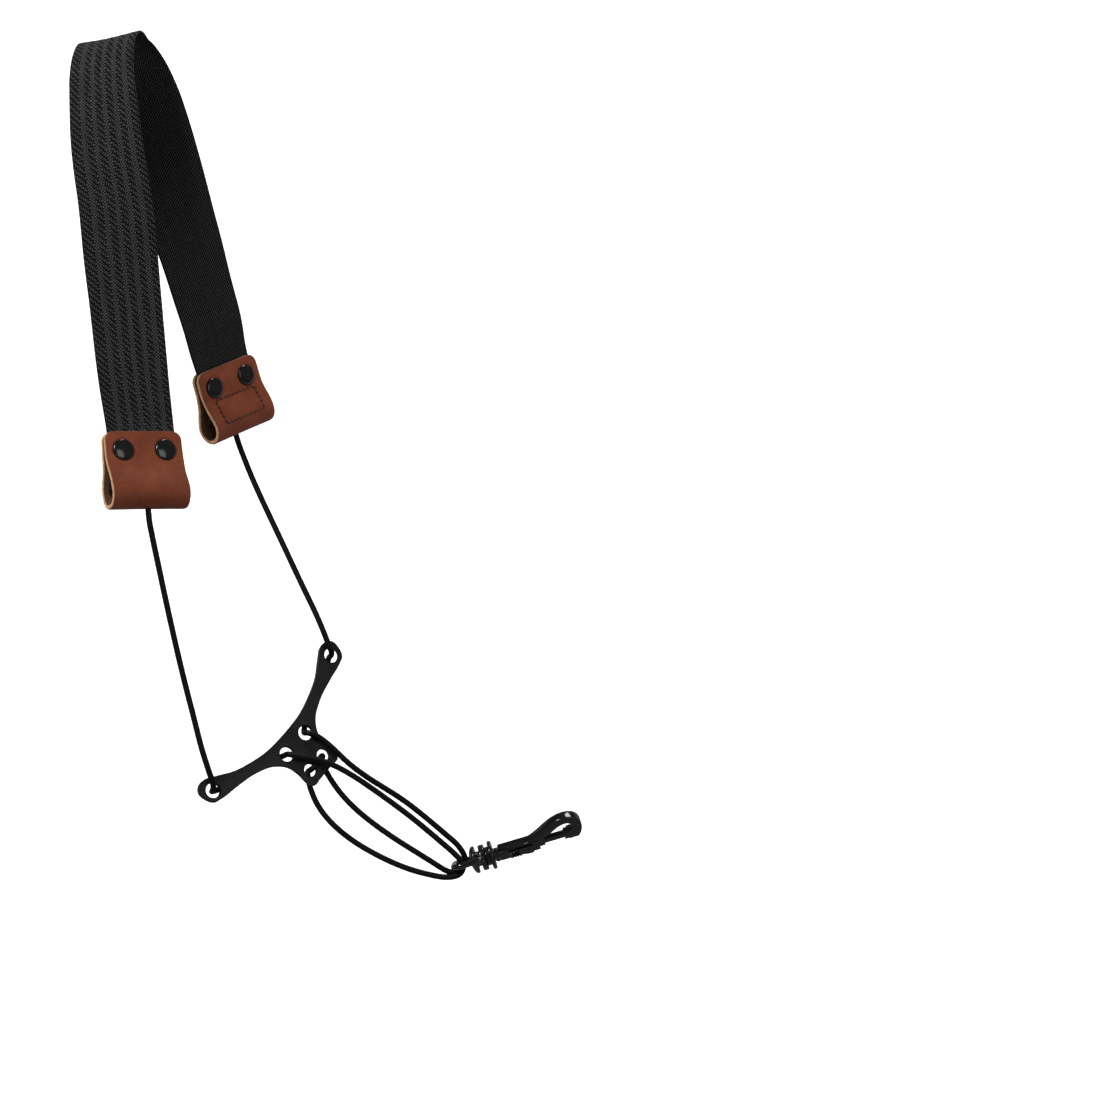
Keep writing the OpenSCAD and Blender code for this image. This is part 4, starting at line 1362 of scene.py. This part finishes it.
def build_bolt():
    bolt = lathe(rounded(BOLT, 0.25), 40)
    black_part("sliding_bolt_black", bolt, "bolt_set", "bolt")
    v, f = plate(np.array(LUG_SIDE), thickness=3.9, bevel=0.28)
    lug = np.stack([v[:, 0], LUG_BASE_Y - v[:, 1], v[:, 2]], 1), flipped(f)
    black_part("thumb_lug_black", lug, "bolt_set", "thumb_lug", crease=42)
    v, f = lathe(rounded(LUG_PIN, 0.15), 24)
    pin = np.stack([v[:, 1] + LUG_PIN_X, v[:, 0], v[:, 2]], 1), f
    black_part("lug_pin_black", pin, "bolt_set", "lug_pin")


def build_spring():
    """A coil in the barrel, closer wound at both ends; it stretches from hook to bolt."""
    turns, steps, around, coil_radius = 7.5, 24, 8, 1.78
    count = turns * steps
    i = np.arange(int(count) + 1)
    share = np.interp(i / count, [0, 0.1, 0.9, 1], [0, 0.03, 0.97, 1])
    a = i * 2 * math.pi / steps
    path = np.stack([27.25 + 10.5 * share, coil_radius * np.cos(a), coil_radius * np.sin(a)], 1)
    v, f = tube(path, 0.2, around, (0, 1, 0))
    ob = mesh("bolt_spring_steel", hook.place(v), f, [STEEL])
    blend(ob)
    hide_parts("bolt_spring")


# ---------------------------------------------------------------- stage, light, camera
def paper_material():
    """Pale to the camera, and dimmer in reflections and bounced light."""
    m = Material("pale_paper")
    cloud = m.noise(m.millimetres(), scale=0.02, detail=3.0)
    seen = m.node("ShaderNodeLightPath").outputs["Is Camera Ray"]
    pale = m.ramp(cloud, (0.3, grey(0.90)), (0.7, grey(0.92)))
    return m.finish(
        Emission_Color=grey(1.0),
        Emission_Strength=m.mul(seen, by=0.35),
        Base_Color=m.mix(seen, grey(0.22), pale),
        Roughness=0.9,
        Specular_IOR_Level=0.1,
    )


def build_backdrop():
    """A floor that sweeps up into a back wall."""
    floor_z, wall_y, radius = -560, 750, 600
    near_y, top_z, left_x, right_x = -2600, 2600, -2600, 3000
    profile = [(near_y, floor_z)]
    for a in np.linspace(0, math.pi / 2, 24):
        y = wall_y - radius + radius * math.sin(a)
        profile.append((y, floor_z + radius - radius * math.cos(a)))
    profile.append((wall_y, top_z))
    verts = [(x, y, z) for y, z in profile for x in (left_x, right_x)]
    faces = [[2 * i, 2 * i + 1, 2 * i + 3, 2 * i + 2] for i in range(len(profile) - 1)]
    mesh("backdrop", verts, faces, [paper_material()])


def lamp(name, at, target, size, watts):
    """A square area light; places and size in metres."""
    light = bpy.data.lights.new(name, "AREA")
    light.energy = watts
    light.size = size
    ob = bpy.data.objects.new(name, light)
    ob.location = at
    ob.rotation_euler = (Vector(target) - Vector(at)).to_track_quat("-Z", "Y").to_euler()
    bpy.context.collection.objects.link(ob)
    return ob


def build_lights():
    world = bpy.data.worlds.new("studio")
    bpy.context.scene.world = world
    world.use_nodes = True
    background = world.node_tree.nodes["Background"]
    background.inputs["Color"].default_value = (1, 1, 1, 1)
    background.inputs["Strength"].default_value = 0.16
    lamp("key", at=(-0.75, -1.1, 0.75), target=(0.08, 0.0, -0.25), size=0.32, watts=15)
    lamp("fill", at=(1.1, -1.3, 0.0), target=(0.12, 0.0, -0.3), size=0.8, watts=3.5)
    lamp("top", at=(0.3, 0.15, 0.9), target=(0.1, 0.0, -0.3), size=0.4, watts=5)
    lamp("spark", at=(-0.6, -1.2, 0.35), target=(0.12, 0.0, -0.3), size=0.09, watts=2.2)
    # these two light the wall and stay out of reflections
    for name, x, target_x in (("back_left", -1.0, 0.05), ("back_right", 1.5, 0.3)):
        wall = lamp(name, at=(x, 0.15, -0.2), target=(target_x, 0.72, -0.3), size=0.9, watts=12)
        wall.visible_glossy = False


def build_camera():
    """Level, in front, looking along +Y."""
    cam = bpy.data.objects.new("camera", bpy.data.cameras.new("camera"))
    cam.data.sensor_width = 36
    cam.data.lens = 89.83957219
    cam.data.clip_start, cam.data.clip_end = 0.05, 20
    cam.location = (0.2250, -1.412, -0.2634)
    cam.rotation_euler = (math.radians(90), 0, 0)
    bpy.context.collection.objects.link(cam)
    scene = bpy.context.scene
    scene.camera = cam
    scene.view_settings.view_transform = "Standard"
    scene.view_settings.look = "None"


build_webbing()
build_tab(front_tab)
build_tab(back_tab)
build_upper_cords()
build_cord_run()
build_knot(front_tab)
build_knot(back_tab)
build_yoke()
build_eye()
build_swivel()
build_hook_body()
build_bolt()
build_spring()
build_backdrop()
build_lights()
build_camera()
